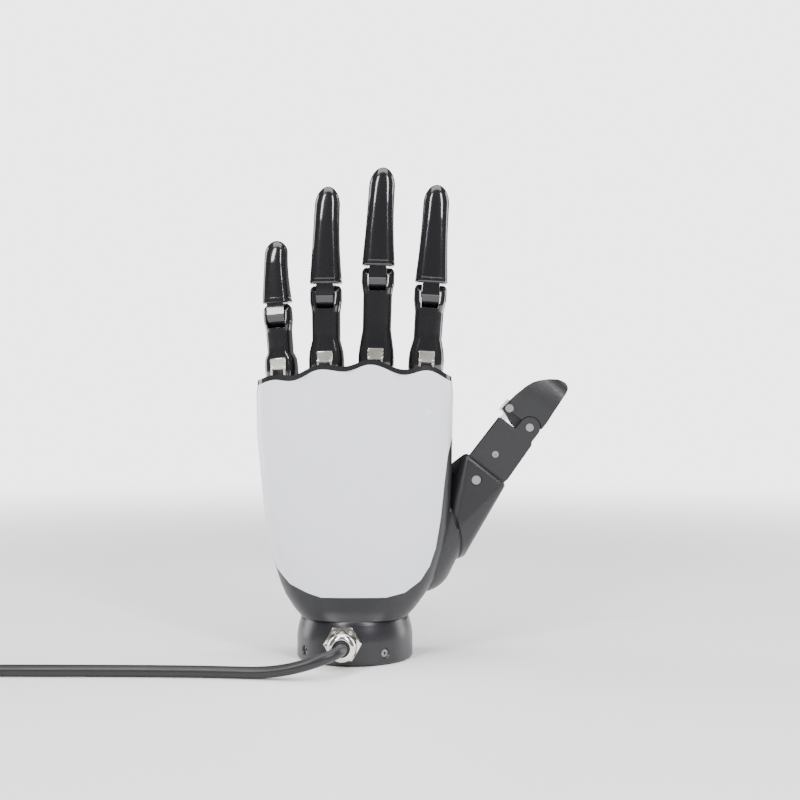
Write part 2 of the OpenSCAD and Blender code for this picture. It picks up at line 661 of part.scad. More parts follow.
module thumb_coupler() color(steel) at_flex() {
  slot = tip_pin_r + 0.35;
  difference() {
    translate([-7.2, -1.2, 10]) cube([2.4, 2.4, tip_link[1] - 10]);
    translate([tip_link[0], 0, tip_link[1]]) pin_y(slot, 10);
  }
  difference() {
    translate([tip_link[0] - slot - 0.7, -1.2, tip_link[1] - slot - 0.8])
      cube([2 * slot + 1.4 + 0.9, 2.4, 2 * slot + 1.6]);
    translate([tip_link[0], 0, tip_link[1]]) pin_y(slot, 10);
    translate([tip_link[0] + 0.9, 0, tip_link[1]]) pin_y(slot, 10);
    translate([tip_link[0], -5, tip_link[1] - slot]) cube([0.9, 10, 2 * slot]);
  }
}
// Outline of the thumb's tip: pad on the finger side, nail on the outside
tip_outline = [[-8.5, 30.2], [-8.3, 32.6], [-7.6, 37.5], [-6.3, 43], [-3.7, 48], [1.2, 52.2], [4.4, 53.2],
  [6.4, 52.6], [7.4, 50], [7.6, 46], [8, 40], [8.4, 36], [8.4, 32.4], [7, 30.4]];
tip_base = 30.2;
module thumb_tip() color(graphite) at_flex() difference() {
  union() {
    intersection() {
      across_y(thumb_depth) polygon(tip_outline);
      across_x(60) polygon([[-6.5, 26], [-6.5, 42], [-5.6, 48], [-3.6, 52], [0, 54], [3.6, 52], [5.6, 48],
        [6.5, 42], [6.5, 26]]);
    }
    across_y(2 * thumb_tongue) union() {
      translate(tip_hinge) circle(r = thumb_ear_r);
      polygon([[-9, 29], [-8.5, 34], [8, 34], [tip_hinge[0] + thumb_ear_r, tip_hinge[1]],
        [tip_hinge[0], tip_hinge[1] - thumb_ear_r], [-2, 26.6], [-6, 28]]);
    }
  }
  for (s = [-1, 1]) translate([tip_hinge[0], s * (thumb_depth / 2 + thumb_tongue) / 2, tip_hinge[1]])
    pin_y(thumb_ear_r + gap, (thumb_depth / 2 - thumb_tongue) / 2 + 0.01);
  for (s = [-1, 1]) translate([-20, s > 0 ? thumb_tongue : -thumb_depth, 20])
    cube([20 + tip_hinge[0], thumb_depth - thumb_tongue, thumb_l + 2 - 20]);
  translate([tip_hinge[0], 0, tip_hinge[1]]) pin_y(tip_pin_r + run, 20);
  translate([tip_link[0], 0, tip_link[1]]) pin_y(tip_pin_r, 20);
  translate([-20, -1.6, 20]) cube([18, 3.2, 15]);
}
module thumb_link_pin() color(steel) at_flex()
  translate([tip_link[0], 0, tip_link[1]]) pin_y(tip_pin_r, thumb_depth / 2 - 0.2);
module thumb_hinge_pin() color(steel) at_flex()
  translate([tip_hinge[0], 0, tip_hinge[1]]) pin_y(tip_pin_r, thumb_depth / 2 - 0.2);

wrist_ring();
wrist_screws();
palm_frame();
palm_shell();
back_cover();
knuckle_rim();
cover_screws();
knuckle_pins();
control_board();
gland_body();
gland_nut();
gland_seal();
cable();
cable_coil();
cable_connector();
actuator(index);  // index_actuator
push_rod(index);  // index_push_rod
lever(index);  // index_lever
proximal(index);  // index_proximal
middle_pin(index);  // index_middle_pin
coupler(index);  // index_coupler
tip_frame(index);  // index_tip_frame
tip_cover(index);  // index_tip_cover
actuator(middle);  // middle_actuator
push_rod(middle);  // middle_push_rod
lever(middle);  // middle_lever
proximal(middle);  // middle_proximal
middle_pin(middle);  // middle_middle_pin
coupler(middle);  // middle_coupler
tip_frame(middle);  // middle_tip_frame
tip_cover(middle);  // middle_tip_cover
actuator(ring);  // ring_actuator
push_rod(ring);  // ring_push_rod
lever(ring);  // ring_lever
proximal(ring);  // ring_proximal
middle_pin(ring);  // ring_middle_pin
coupler(ring);  // ring_coupler
tip_frame(ring);  // ring_tip_frame
tip_cover(ring);  // ring_tip_cover
actuator(pinky);  // pinky_actuator
push_rod(pinky);  // pinky_push_rod
lever(pinky);  // pinky_lever
proximal(pinky);  // pinky_proximal
middle_pin(pinky);  // pinky_middle_pin
coupler(pinky);  // pinky_coupler
tip_frame(pinky);  // pinky_tip_frame
tip_cover(pinky);  // pinky_tip_cover
thumb_motor();
thumb_seam_ring();
thumb_housing();
thumb_flex_pin();
thumb_actuator();
thumb_proximal();
thumb_screw();
thumb_coupler();
thumb_tip();
thumb_link_pin();
thumb_hinge_pin();
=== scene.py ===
# %% [markdown]
# # A left prosthetic hand
# The hand is a set of moulded shells around small motors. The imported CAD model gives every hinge,
# pin and rod its true place. This lesson dresses it: each visible shell is a surface worked out on a
# grid with numpy, and each finish is a small node network. Everything is in metres.

import math

import bmesh
import bpy
import numpy as np
from mathutils import Matrix, Vector


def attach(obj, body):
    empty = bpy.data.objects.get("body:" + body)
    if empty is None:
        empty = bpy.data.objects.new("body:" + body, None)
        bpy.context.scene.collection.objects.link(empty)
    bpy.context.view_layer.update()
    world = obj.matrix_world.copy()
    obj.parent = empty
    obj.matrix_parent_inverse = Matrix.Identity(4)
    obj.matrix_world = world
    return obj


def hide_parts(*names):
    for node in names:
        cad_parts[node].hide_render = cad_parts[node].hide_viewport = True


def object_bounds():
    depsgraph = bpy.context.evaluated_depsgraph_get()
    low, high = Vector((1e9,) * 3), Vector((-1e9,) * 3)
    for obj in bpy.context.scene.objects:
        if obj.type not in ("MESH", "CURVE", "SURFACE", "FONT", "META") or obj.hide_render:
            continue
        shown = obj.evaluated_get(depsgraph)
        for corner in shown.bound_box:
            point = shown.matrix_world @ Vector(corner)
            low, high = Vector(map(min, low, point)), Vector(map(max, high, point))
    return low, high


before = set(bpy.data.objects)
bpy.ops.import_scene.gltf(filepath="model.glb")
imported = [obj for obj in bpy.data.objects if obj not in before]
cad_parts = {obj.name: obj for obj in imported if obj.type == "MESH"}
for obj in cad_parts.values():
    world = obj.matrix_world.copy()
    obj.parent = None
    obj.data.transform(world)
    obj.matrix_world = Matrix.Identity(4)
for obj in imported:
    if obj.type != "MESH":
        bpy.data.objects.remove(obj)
cad_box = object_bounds()
MM = 0.001
print("nodes in the frame:", len(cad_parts))

# %% [markdown]
# ## Camera, floor and light
# The hand is seen level with the palm, from about half a metre, with a normal lens. Two tall soft boxes in front give the pair of long streaks down each glossy fingertip.

# %% Camera
CAMERA_PLACE = Vector((18.0, -493.0, 102.0)) * MM
lens = bpy.data.cameras.new("camera")
lens.sensor_width = 36.0
lens.lens = 1232.0 / 800.0 * lens.sensor_width
lens.clip_start = 0.01
camera = bpy.data.objects.new("camera", lens)
camera.location = CAMERA_PLACE
camera.rotation_euler = (math.pi / 2, 0.0, 0.0)
bpy.context.scene.collection.objects.link(camera)
bpy.context.scene.camera = camera


# %% Studio
def soft_box(name, place, target, size, power, tint=(1.0, 1.0, 1.0)):
    """Area light at place, turned to face target; size is its width and height."""
    light = bpy.data.lights.new(name, "AREA")
    light.shape = "RECTANGLE"
    light.size, light.size_y = size
    light.energy = power
    light.color = tint
    box = bpy.data.objects.new(name, light)
    box.location = place
    aim = Vector(target) - Vector(place)
    box.rotation_euler = aim.to_track_quat("-Z", "Y").to_euler()
    bpy.context.scene.collection.objects.link(box)
    return box


HAND_MIDDLE = (0.0, 0.0, 0.10)
soft_box("key_left", (-0.34, -0.62, 0.62), HAND_MIDDLE, (0.10, 0.5), 5.0)
soft_box("key_right", (0.40, -0.62, 0.60), HAND_MIDDLE, (0.10, 0.5), 5.0)
soft_box("top", (0.0, -0.1, 0.95), HAND_MIDDLE, (0.8, 0.6), 7.0)
soft_box("rim_left", (-0.7, 0.25, 0.3), HAND_MIDDLE, (0.3, 0.7), 4.0)
soft_box("rim_right", (0.7, 0.25, 0.3), HAND_MIDDLE, (0.3, 0.7), 4.0)

world = bpy.data.worlds.new("studio")
world.use_nodes = True
world.node_tree.nodes["Background"].inputs["Color"].default_value = (1.0, 1.0, 1.0, 1.0)
sky = world.node_tree.nodes["Background"]
paths = world.node_tree.nodes.new("ShaderNodeLightPath")
seen = world.node_tree.nodes.new("ShaderNodeMath")
seen.operation = "MULTIPLY_ADD"
seen.inputs[1].default_value = 3.0
seen.inputs[2].default_value = 0.75
mirrored = world.node_tree.nodes.new("ShaderNodeMath")
mirrored.operation = "MULTIPLY_ADD"
mirrored.inputs[1].default_value = -0.5
world.node_tree.links.new(paths.outputs["Is Camera Ray"], seen.inputs[0])
world.node_tree.links.new(paths.outputs["Is Glossy Ray"], mirrored.inputs[0])
world.node_tree.links.new(seen.outputs["Value"], mirrored.inputs[2])
world.node_tree.links.new(mirrored.outputs["Value"], sky.inputs["Strength"])
bpy.context.scene.world = world

# %% [markdown]
# ## Finishes
# Each finish is one Principled shader. A slow noise in Object coordinates shades its colour and moves its
# roughness, and a fine one moves its bump a little, as moulding, plating and handling do on the real thing.


# %% Material helper
def finish_of(name, color, rough, metal=0.0, coat=0.0, coat_rough=0.05, spec=0.5, grain=0.0,
              grain_scale=4000.0, rough_swing=0.05, tone_swing=0.06, wear_scale=60.0, sheen=0.0):
    """Principled material: slow noise shades the colour and moves roughness, fine noise moves the bump."""
    material = bpy.data.materials.new(name)
    material.use_nodes = True
    nodes = material.node_tree.nodes
    links = material.node_tree.links
    shader = nodes["Principled BSDF"]
    shader.inputs["Metallic"].default_value = metal
    shader.inputs["Coat Weight"].default_value = coat
    shader.inputs["Coat Roughness"].default_value = coat_rough
    shader.inputs["Specular IOR Level"].default_value = spec
    shader.inputs["Sheen Weight"].default_value = sheen
    place = nodes.new("ShaderNodeTexCoord")
    slow = nodes.new("ShaderNodeTexNoise")
    slow.inputs["Scale"].default_value = wear_scale
    slow.inputs["Detail"].default_value = 4.0
    links.new(place.outputs["Object"], slow.inputs["Vector"])
    tone = nodes.new("ShaderNodeMix")
    tone.data_type = "RGBA"
    low = [c * (1.0 - tone_swing) for c in color]
    high = [min(1.0, c * (1.0 + tone_swing)) for c in color]
    tone.inputs["A"].default_value = (*low, 1.0)
    tone.inputs["B"].default_value = (*high, 1.0)
    links.new(slow.outputs["Fac"], tone.inputs["Factor"])
    links.new(tone.outputs["Result"], shader.inputs["Base Color"])
    fine = nodes.new("ShaderNodeTexNoise")
    fine.inputs["Scale"].default_value = grain_scale
    fine.inputs["Detail"].default_value = 3.0
    links.new(place.outputs["Object"], fine.inputs["Vector"])
    span = nodes.new("ShaderNodeMapRange")
    span.inputs["To Min"].default_value = max(0.0, rough - rough_swing)
    span.inputs["To Max"].default_value = min(1.0, rough + rough_swing)
    links.new(slow.outputs["Fac"], span.inputs["Value"])
    links.new(span.outputs["Result"], shader.inputs["Roughness"])
    if grain > 0.0:
        bump = nodes.new("ShaderNodeBump")
        bump.inputs["Strength"].default_value = grain
        bump.inputs["Distance"].default_value = 0.0001
        links.new(fine.outputs["Fac"], bump.inputs["Height"])
        links.new(bump.outputs["Normal"], shader.inputs["Normal"])
    return material


# %% The hand's finishes
pearl = finish_of("pearl_cover", (0.72, 0.725, 0.79), 0.30, coat=0.25, coat_rough=0.25, grain=0.06,
                  tone_swing=0.015, rough_swing=0.04)
shell_black = finish_of("shell_black", (0.018, 0.018, 0.021), 0.40, spec=0.45, grain=0.22,
                        grain_scale=5200.0)
thumb_black = finish_of("thumb_black", (0.013, 0.013, 0.015), 0.36, spec=0.45, grain=0.2,
                        grain_scale=5200.0)
gloss_black = finish_of("gloss_black", (0.006, 0.006, 0.0075), 0.16, coat=0.6, coat_rough=0.05,
                        rough_swing=0.03, grain=0.02)
rim_black = finish_of("rim_black", (0.010, 0.010, 0.012), 0.22, coat=0.3, coat_rough=0.12, grain=0.05)
wrist_black = finish_of("wrist_black", (0.014, 0.014, 0.017), 0.30, spec=0.5, grain=0.10)
bright_nickel = finish_of("bright_nickel", (0.80, 0.77, 0.70), 0.14, metal=1.0, grain=0.05,
                          rough_swing=0.06)
bright_steel = finish_of("bright_steel", (0.80, 0.80, 0.79), 0.16, metal=1.0, grain=0.06,
                         rough_swing=0.08)
pin_steel = finish_of("pin_steel", (0.30, 0.30, 0.30), 0.34, metal=0.9, grain=0.12)
motor_metal = finish_of("motor_metal", (0.55, 0.55, 0.57), 0.32, metal=1.0, grain=0.1)
board_green = finish_of("board_green", (0.01, 0.12, 0.05), 0.35, coat=0.3, grain=0.1)
seal_rubber = finish_of("seal_rubber", (0.012, 0.012, 0.012), 0.6, grain=0.2)
jacket = finish_of("cable_jacket", (0.012, 0.012, 0.014), 0.36, spec=0.45, grain=0.12, sheen=0.05)
floor_white = finish_of("floor_white", (0.93, 0.93, 0.93), 0.55, tone_swing=0.003)


# %% Floor
def floor_sheet(size, level):
    """Square sheet at one height, centred on the hand."""
    mesh = bpy.data.meshes.new("floor")
    half = size / 2
    mesh.from_pydata([(-half, -half, level), (half, -half, level), (half, half, level),
                      (-half, half, level)], [], [(0, 1, 2, 3)])
    sheet = bpy.data.objects.new("floor", mesh)
    bpy.context.scene.collection.objects.link(sheet)
    mesh.materials.append(floor_white)
    return sheet


def fade_to_sky(material, near, far):
    """Blends a surface into plain light between two distances from the hand."""
    nodes, links = material.node_tree.nodes, material.node_tree.links
    out = next(n for n in nodes if n.type == "OUTPUT_MATERIAL")
    surface = out.inputs["Surface"].links[0].from_socket
    place = nodes.new("ShaderNodeTexCoord")
    away = nodes.new("ShaderNodeVectorMath")
    away.operation = "LENGTH"
    blend = nodes.new("ShaderNodeMapRange")
    blend.interpolation_type = "SMOOTHSTEP"
    blend.inputs["From Min"].default_value = near
    blend.inputs["From Max"].default_value = far
    light = nodes.new("ShaderNodeEmission")
    light.inputs["Strength"].default_value = 3.75
    mix = nodes.new("ShaderNodeMixShader")
    links.new(place.outputs["Object"], away.inputs[0])
    links.new(away.outputs["Value"], blend.inputs["Value"])
    links.new(blend.outputs["Result"], mix.inputs["Fac"])
    links.new(surface, mix.inputs[1])
    links.new(light.outputs["Emission"], mix.inputs[2])
    links.new(mix.outputs["Shader"], out.inputs["Surface"])


fade_to_sky(floor_white, 0.3, 1.1)
floor_sheet(30.0, cad_box[0][2])

# %% [markdown]
# ## The cable
# The lead is one real length of soft round cable. It leaves the gland straight, sinks to the table in
# a slow curve and runs off to the left. The rest is wound as for storage: two turns side by side in
# each of four layers, so every turn lies a diameter from the next.

# %% Cable route, in metres
CABLE_D = 0.0044
ROUTE = [
    (-0.0038, -0.034, 0.0095), (-0.0038, -0.037, 0.0095), (-0.0048, -0.040, 0.0091),
    (-0.0075, -0.0425, 0.0082), (-0.012, -0.044, 0.0068), (-0.018, -0.0444, 0.005),
    (-0.025, -0.0438, 0.0034), (-0.033, -0.0426, 0.0024), (-0.042, -0.0414, 0.0022),
    (-0.052, -0.0404, 0.0022), (-0.064, -0.0396, 0.0022), (-0.078, -0.039, 0.0022),
    (-0.094, -0.0386, 0.0022), (-0.112, -0.0384, 0.0022), (-0.130, -0.0382, 0.0022),
    (-0.148, -0.038, 0.0022), (-0.166, -0.038, 0.0022), (-0.180, -0.038, 0.0022),
]
COIL_MIDDLE = np.array([-0.190, -0.0088])
COIL_R = 0.0248
LAYERS = 4
TURNS_A_LAYER = 2
POINTS_A_TURN = 24


def coil_points():
    """Winding: angle grows evenly; radius swings one diameter in and out, once for each layer; height
    climbs a diameter over the last eighth turn of a layer."""
    count = LAYERS * TURNS_A_LAYER * POINTS_A_TURN
    turn = np.arange(1, count) / POINTS_A_TURN
    layer = np.minimum(np.floor(turn / TURNS_A_LAYER), LAYERS - 1)
    part = turn / TURNS_A_LAYER - layer
    swing = np.where(layer % 2 == 0, 1.0 - 2.0 * part, 2.0 * part - 1.0)
    radius = COIL_R + CABLE_D * swing
    climb = np.clip((part - 0.93) / 0.07, 0.0, 1.0)
    height = CABLE_D * (0.5 + layer + np.where(layer < LAYERS - 1, climb, 0.0))
    angle = -math.pi / 2 - 2.0 * math.pi * turn
    x = COIL_MIDDLE[0] + radius * np.cos(angle)
    y = COIL_MIDDLE[1] + radius * np.sin(angle)
    return np.column_stack([x, y, height])


# %% Cable curve
def round_cable(name, points, diameter, material):
    """One open Bezier spline through the points, with automatic handles and a round bevel."""
    curve = bpy.data.curves.new(name, "CURVE")
    curve.dimensions = "3D"
    curve.bevel_depth = diameter / 2
    curve.bevel_resolution = 6
    curve.use_fill_caps = True
    spline = curve.splines.new("BEZIER")
    spline.resolution_u = 5
    spline.bezier_points.add(len(points) - 1)
    spline.bezier_points.foreach_set("co", np.asarray(points, float).ravel())
    for point in spline.bezier_points:
        point.handle_left_type = point.handle_right_type = "AUTO"
    curve.materials.append(material)
    cable = bpy.data.objects.new(name, curve)
    bpy.context.scene.collection.objects.link(cable)
    return cable


way = np.vstack([ROUTE, coil_points()])
cable = round_cable("lead", way, CABLE_D, jacket)
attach(cable, "palm")
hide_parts("cable", "cable_coil")

# %% [markdown]
# ## Grids and lofts
# Nearly every shell here is a loft: rings of points, each ring a rounded rectangle, stacked along an
# axis. A ring is a superellipse, so one number moves it from an ellipse to a squared section.


# %% Grid to mesh
def mesh_from_grid(name, grid, material, caps=True, closed=True):
    """Joins rows of points into quads. Rows close on themselves; caps fan the first and last rows
    to their middles. The grid is in millimetres."""
    rows, cols, _ = grid.shape
    points = grid.reshape(-1, 3) * MM
    j = np.arange(rows - 1)[:, None]
    k = np.arange(cols if closed else cols - 1)[None, :]
    n = (k + 1) % cols
    quads = np.stack([j * cols + k, j * cols + n, (j + 1) * cols + n, (j + 1) * cols + k], axis=-1)
    faces = quads.reshape(-1, 4).tolist()
    if caps:
        low, high = len(points), len(points) + 1
        points = np.vstack([points, points[:cols].mean(0), points[-cols:].mean(0)])
        ring = np.arange(cols)
        after = (ring + 1) % cols
        top = (rows - 1) * cols
        faces += np.column_stack([after, ring, np.full(cols, low)]).tolist()
        faces += np.column_stack([top + ring, top + after, np.full(cols, high)]).tolist()
    mesh = bpy.data.meshes.new(name)
    mesh.from_pydata(points.tolist(), [], faces)
    mesh.polygons.foreach_set("use_smooth", np.ones(len(mesh.polygons), bool))
    mesh.materials.append(material)
    mesh.update()
    piece = bpy.data.objects.new(name, mesh)
    bpy.context.scene.collection.objects.link(piece)
    return piece


def signed_power(value, exponent):
    """Power that keeps the sign of its base."""
    return np.sign(value) * np.abs(value) ** exponent


def ring_points(angle, half_left, half_right, back, front, square):
    """Superellipse with its own half width to each side and its own depth to back and front:
    x = half * cos^(2/square), y = depth * sin^(2/square)."""
    c, s = np.cos(angle), np.sin(angle)
    half = np.where(c < 0, half_left, half_right)
    deep = np.where(s < 0, back, front)
    return half * signed_power(c, 2 / square), deep * signed_power(s, 2 / square)


# %% Booleans, applied at once
def carve(piece, tool, how="DIFFERENCE"):
    """Applies one exact boolean and drops the tool."""
    cut = piece.modifiers.new("cut", "BOOLEAN")
    cut.operation = how
    cut.solver = "EXACT"
    cut.object = tool
    graph = bpy.context.evaluated_depsgraph_get()
    made = bpy.data.meshes.new_from_object(piece.evaluated_get(graph))
    old = piece.data
    piece.modifiers.clear()
    piece.data = made
    bpy.data.meshes.remove(old)
    spent = tool.data
    bpy.data.objects.remove(tool)
    bpy.data.meshes.remove(spent)
    return piece


def smooth_by_angle(piece, degrees=32.0):
    """Marks edges sharper than the angle, so that the rest shade as one surface."""
    mesh = piece.data
    mesh.polygons.foreach_set("use_smooth", np.ones(len(mesh.polygons), bool))
    mesh.set_sharp_from_angle(angle=math.radians(degrees))
    return piece


def prism(name, outline, low, high, axes, material=None):
    """Extrudes a closed outline between two heights. axes says which coordinates the outline's two
    numbers and the height go to, such as (1, 2, 0) for an outline in y and z, extruded along x."""
    outline = np.asarray(outline, float)
    n = len(outline)
    points = np.zeros((2, n, 3))
    points[..., axes[0]] = outline[:, 0]
    points[..., axes[1]] = outline[:, 1]
    points[0, :, axes[2]] = low
    points[1, :, axes[2]] = high
    k = np.arange(n)
    after = (k + 1) % n
    faces = np.column_stack([k, after, n + after, n + k]).tolist()
    faces += [k[::-1].tolist(), (n + k).tolist()]
    mesh = bpy.data.meshes.new(name)
    mesh.from_pydata((points.reshape(-1, 3) * MM).tolist(), [], faces)
    mesh.materials.append(material or gloss_black)
    mesh.update()
    piece = bpy.data.objects.new(name, mesh)
    bpy.context.scene.collection.objects.link(piece)
    return outward(piece)


def outward(piece):
    """Turns every face of a closed mesh outwards."""
    work = bmesh.new()
    work.from_mesh(piece.data)
    bmesh.ops.remove_doubles(work, verts=work.verts, dist=1e-7)
    bmesh.ops.recalc_face_normals(work, faces=work.faces)
    work.to_mesh(piece.data)
    work.free()
    return piece


def finished(piece, body, slot, *nodes):
    """Rides a finished piece on its body and hides the CAD nodes it stands for; the slot is not used."""
    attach(piece, body)
    if nodes:
        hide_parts(*nodes)
    print(piece.name, "faces:", len(piece.data.polygons))
    return piece


# %% [markdown]
# ## The palm's own section
# The white cover and the black shell share one section. At each height it is a superellipse whose
# half widths and depths come from four short tables.

# %% Palm section, in millimetres
LEFT = [(17, 21.2), (20, 24), (25, 27.4), (30, 29.6), (35, 31.2), (45, 34), (58, 36), (75, 37.8),
        (88, 39), (104, 39.3), (119, 38)]
RIGHT = [(17, 21.2), (20, 24.2), (25, 28), (31, 31.6), (42, 35.4), (50, 37.2), (62, 38.2),
         (75, 38.7), (90, 39), (104, 39.3), (119, 38)]
BACK = [(17, 21), (20, 19.6), (25, 18.4), (32, 17.6), (50, 17), (70, 16.6), (90, 15), (104, 13.2),
        (119, 12)]
FRONT = [(17, 21), (20, 21), (26, 20.6), (36, 19.8), (50, 19), (70, 17), (90, 14.6), (104, 12.6),
         (119, 11)]
SQUARE = 2.7
CREST = [(-41, 107.6), (-31, 110), (-25.5, 109.5), (-12.6, 114), (-4, 113.2), (6.5, 115.9),
         (20, 112), (28.5, 113.7), (41, 109)]
EDGE_LEFT = [(25.6, -12), (27.4, -18), (30.4, -25), (36, -30.6), (46, -34.4), (64, -37.2),
             (80, -38.4), (81, -42)]
EDGE_RIGHT = [(25.6, 12), (27.4, 20), (31.6, 26), (37, 29.6), (44, 32), (56, 34), (69, 35.4),
              (80, 36.8), (87, 38.6), (88, 42)]


def table(rows, at, key=0, value=1):
    """Linear interpolation in a short table."""
    rows = np.asarray(rows, float)
    return np.interp(at, rows[:, key], rows[:, value])


def eased(rows, at):
    """Cosine easing between the table's points: flat at each point, so crests and dips are round."""
    rows = np.asarray(rows, float)
    i = np.clip(np.searchsorted(rows[:, 0], at) - 1, 0, len(rows) - 2)
    part = np.clip((at - rows[i, 0]) / (rows[i + 1, 0] - rows[i, 0]), 0, 1)
    part = (1 - np.cos(np.pi * part)) / 2
    return rows[i, 1] + (rows[i + 1, 1] - rows[i, 1]) * part


def palm_grid(heights, angles, inset=0.0):
    """The palm's surface, moved inwards by the inset."""
    z = np.asarray(heights, float)[:, None] * np.ones(len(angles))[None, :]
    x, y = ring_points(np.asarray(angles)[None, :] * np.ones_like(z), table(LEFT, z) - inset,
                       table(RIGHT, z) - inset, table(BACK, z) - inset, table(FRONT, z) - inset,
                       SQUARE)
    return np.stack([x, y, z], axis=-1)


def palm_solid(name, low, high, inset, material, rows=96, cols=192):
    """A closed palm block between two heights."""
    angles = np.linspace(0, 2 * np.pi, cols, endpoint=False)
    grid = palm_grid(np.linspace(low, high, rows), angles, inset)
    return outward(mesh_from_grid(name, grid, material))


# %% [markdown]
# ## The white cover
# A patch of the palm's surface. Its sides follow the seam, and its top rises to each knuckle and
# dips between them. Three soft flutes run down from the dips, and a shallow upright mark, rounded at
# both ends, sits under each knuckle. Solidify gives the wall, and a small
# bevel rounds the rim.

# %% Cover
COVER_LOW, COVER_HIGH = 25.6, 109.0


def cover_grid(cols=200, rows=180):
    """Rows climb the back of the hand. The rows above 84 mm stretch to meet the crest line:
    z' = z + (crest(x) - 109) * ease((z - 84) / 25)."""
    v = np.linspace(0, 1, rows) ** 1.15
    z = COVER_LOW + 0.15 + (COVER_HIGH - COVER_LOW - 0.15) * v
    left, right = table(LEFT, z), table(RIGHT, z)
    edge_left = np.minimum(-table(EDGE_LEFT, z), left)
    edge_right = np.minimum(table(EDGE_RIGHT, z), right)
    start = np.arccos(np.clip(signed_power(edge_left / left, SQUARE / 2), 0, 1))
    stop = np.arccos(np.clip(signed_power(edge_right / right, SQUARE / 2), 0, 1))
    u = np.linspace(0, 1, cols)[None, :]
    angle = (np.pi + start)[:, None] * (1 - u) + (2 * np.pi - stop)[:, None] * u
    c = np.cos(angle)
    half = np.where(c < 0, left[:, None], right[:, None])
    x = half * signed_power(c, 2 / SQUARE)
    z = z[:, None] * np.ones_like(x)
    part = np.clip((z - 84) / (COVER_HIGH - 84), 0, 1)
    part = part * part * (3 - 2 * part)
    for _ in range(2):
        height = z + (eased(CREST, x.ravel()).reshape(x.shape) - 0.15 - COVER_HIGH) * part
        half = np.where(c < 0, table(LEFT, height), table(RIGHT, height))
        x = np.where(part > 0, half * signed_power(c, 2 / SQUARE), x)
    share = np.clip(np.abs(x) / half, 0, 1)
    y = -table(BACK, height) * (1 - share ** SQUARE) ** (1 / SQUARE)
    for middle, depth in ((-20.3, 0.75), (-1.7, 0.85), (17.8, 0.75)):
        fade = np.clip((height - 82) / 26, 0, 1)
        y += depth * np.exp(-((x - middle) / 3.4) ** 2) * fade * fade
    for mark_x, mark_z in ((-32.0, 100.5), (-12.4, 103.0), (6.3, 104.0), (28.7, 102.0)):
        along = np.clip(height - mark_z, -3.0, 3.0)
        reach = np.hypot(x - mark_x, height - mark_z - along)
        y += 0.28 * np.clip((2.2 - reach) / 0.7, 0, 1)
    return np.stack([x, y, height], axis=-1)


def thicken(piece, wall):
    """Gives a sheet its wall, inwards, and applies it."""
    solid = piece.modifiers.new("wall", "SOLIDIFY")
    solid.thickness = wall * MM
    solid.offset = -1.0
    solid.use_even_offset = True
    graph = bpy.context.evaluated_depsgraph_get()
    made = bpy.data.meshes.new_from_object(piece.evaluated_get(graph))
    old = piece.data
    piece.modifiers.clear()
    piece.data = made
    bpy.data.meshes.remove(old)
    return piece


def rounded_edges(piece, width, segments=3, degrees=38.0):
    """Bevels edges sharper than the angle."""
    bevel = piece.modifiers.new("edges", "BEVEL")
    bevel.width = width * MM
    bevel.segments = segments
    bevel.limit_method = "ANGLE"
    bevel.angle_limit = math.radians(degrees)
    bevel.harden_normals = False
    return piece


cover = mesh_from_grid("white_cover", cover_grid(), pearl, caps=False, closed=False)
thicken(cover, 1.7)
rounded_edges(cover, 0.35, 2, 50)
smooth_by_angle(cover, 60)
finished(cover, "palm", "pearl_cover", "back_cover")

# %% [markdown]
# ## The black palm shell
# The rest of the palm's skin, hollow, with the bulge under the thumb. The cover's outline is cut out
# of its back, and its palm side ends low enough for the fingers to close.

# %% Shell
COVER_OUTLINE = [(x, z) for z, x in EDGE_LEFT[::-1]] + [(x, z) for z, x in EDGE_RIGHT]
SEAT = np.array([36.0, 8.0, 50.0])
SEAT_AXIS = np.array([math.cos(math.radians(15)) * math.cos(math.radians(25)),
                      math.cos(math.radians(15)) * math.sin(math.radians(25)),
                      math.sin(math.radians(15))])
SEAT_R = 13.5


def seat_frame():
    """Matrix that stands +Z along the thumb's turning axis, at its seat, in millimetres."""
    return Matrix.Translation(Vector(SEAT)) @ Vector(SEAT_AXIS).to_track_quat("Z", "Y").to_matrix().to_4x4()


def placed(grid, matrix):
    """Moves a grid in millimetres by a 4x4 matrix."""
    m = np.array(matrix)
    return grid @ m[:3, :3].T + m[:3, 3]


def turned_grid(profile, sides=96):
    """Revolves (radius, height) pairs about z."""
    profile = np.asarray(profile, float)
    a = np.linspace(0, 2 * np.pi, sides, endpoint=False)
    r, z = profile[:, 0][:, None], profile[:, 1][:, None]
    return np.stack([r * np.cos(a), r * np.sin(a), z + 0 * a], axis=-1)


def turned(name, profile, matrix=None, sides=96, material=None):
    """Solid of revolution, closed by caps, placed by a matrix."""
    grid = turned_grid(profile, sides)
    if matrix is not None:
        grid = placed(grid, matrix)
    return outward(mesh_from_grid(name, grid, material or shell_black))


def hull_of(name, clouds, material):
    """Convex hull of points in millimetres."""
    work = bmesh.new()
    for point in np.vstack(clouds):
        work.verts.new(point * MM)
    made = bmesh.ops.convex_hull(work, input=work.verts)
    loose = [v for v in made["geom_interior"] if isinstance(v, bmesh.types.BMVert)]
    bmesh.ops.delete(work, geom=loose, context="VERTS")
    bmesh.ops.recalc_face_normals(work, faces=work.faces)
    mesh = bpy.data.meshes.new(name)
    work.to_mesh(mesh)
    work.free()
    mesh.materials.append(material)
    piece = bpy.data.objects.new(name, mesh)
    bpy.context.scene.collection.objects.link(piece)
    return piece


def ball(middle, r, rows=32, cols=48):
    """Points of a sphere."""
    t = np.linspace(0, np.pi, rows)[:, None]
    p = np.linspace(0, 2 * np.pi, cols, endpoint=False)[None, :]
    grid = np.stack([np.sin(t) * np.cos(p), np.sin(t) * np.sin(p), np.cos(t) + 0 * p], axis=-1)
    return grid.reshape(-1, 3) * r + np.asarray(middle, float)


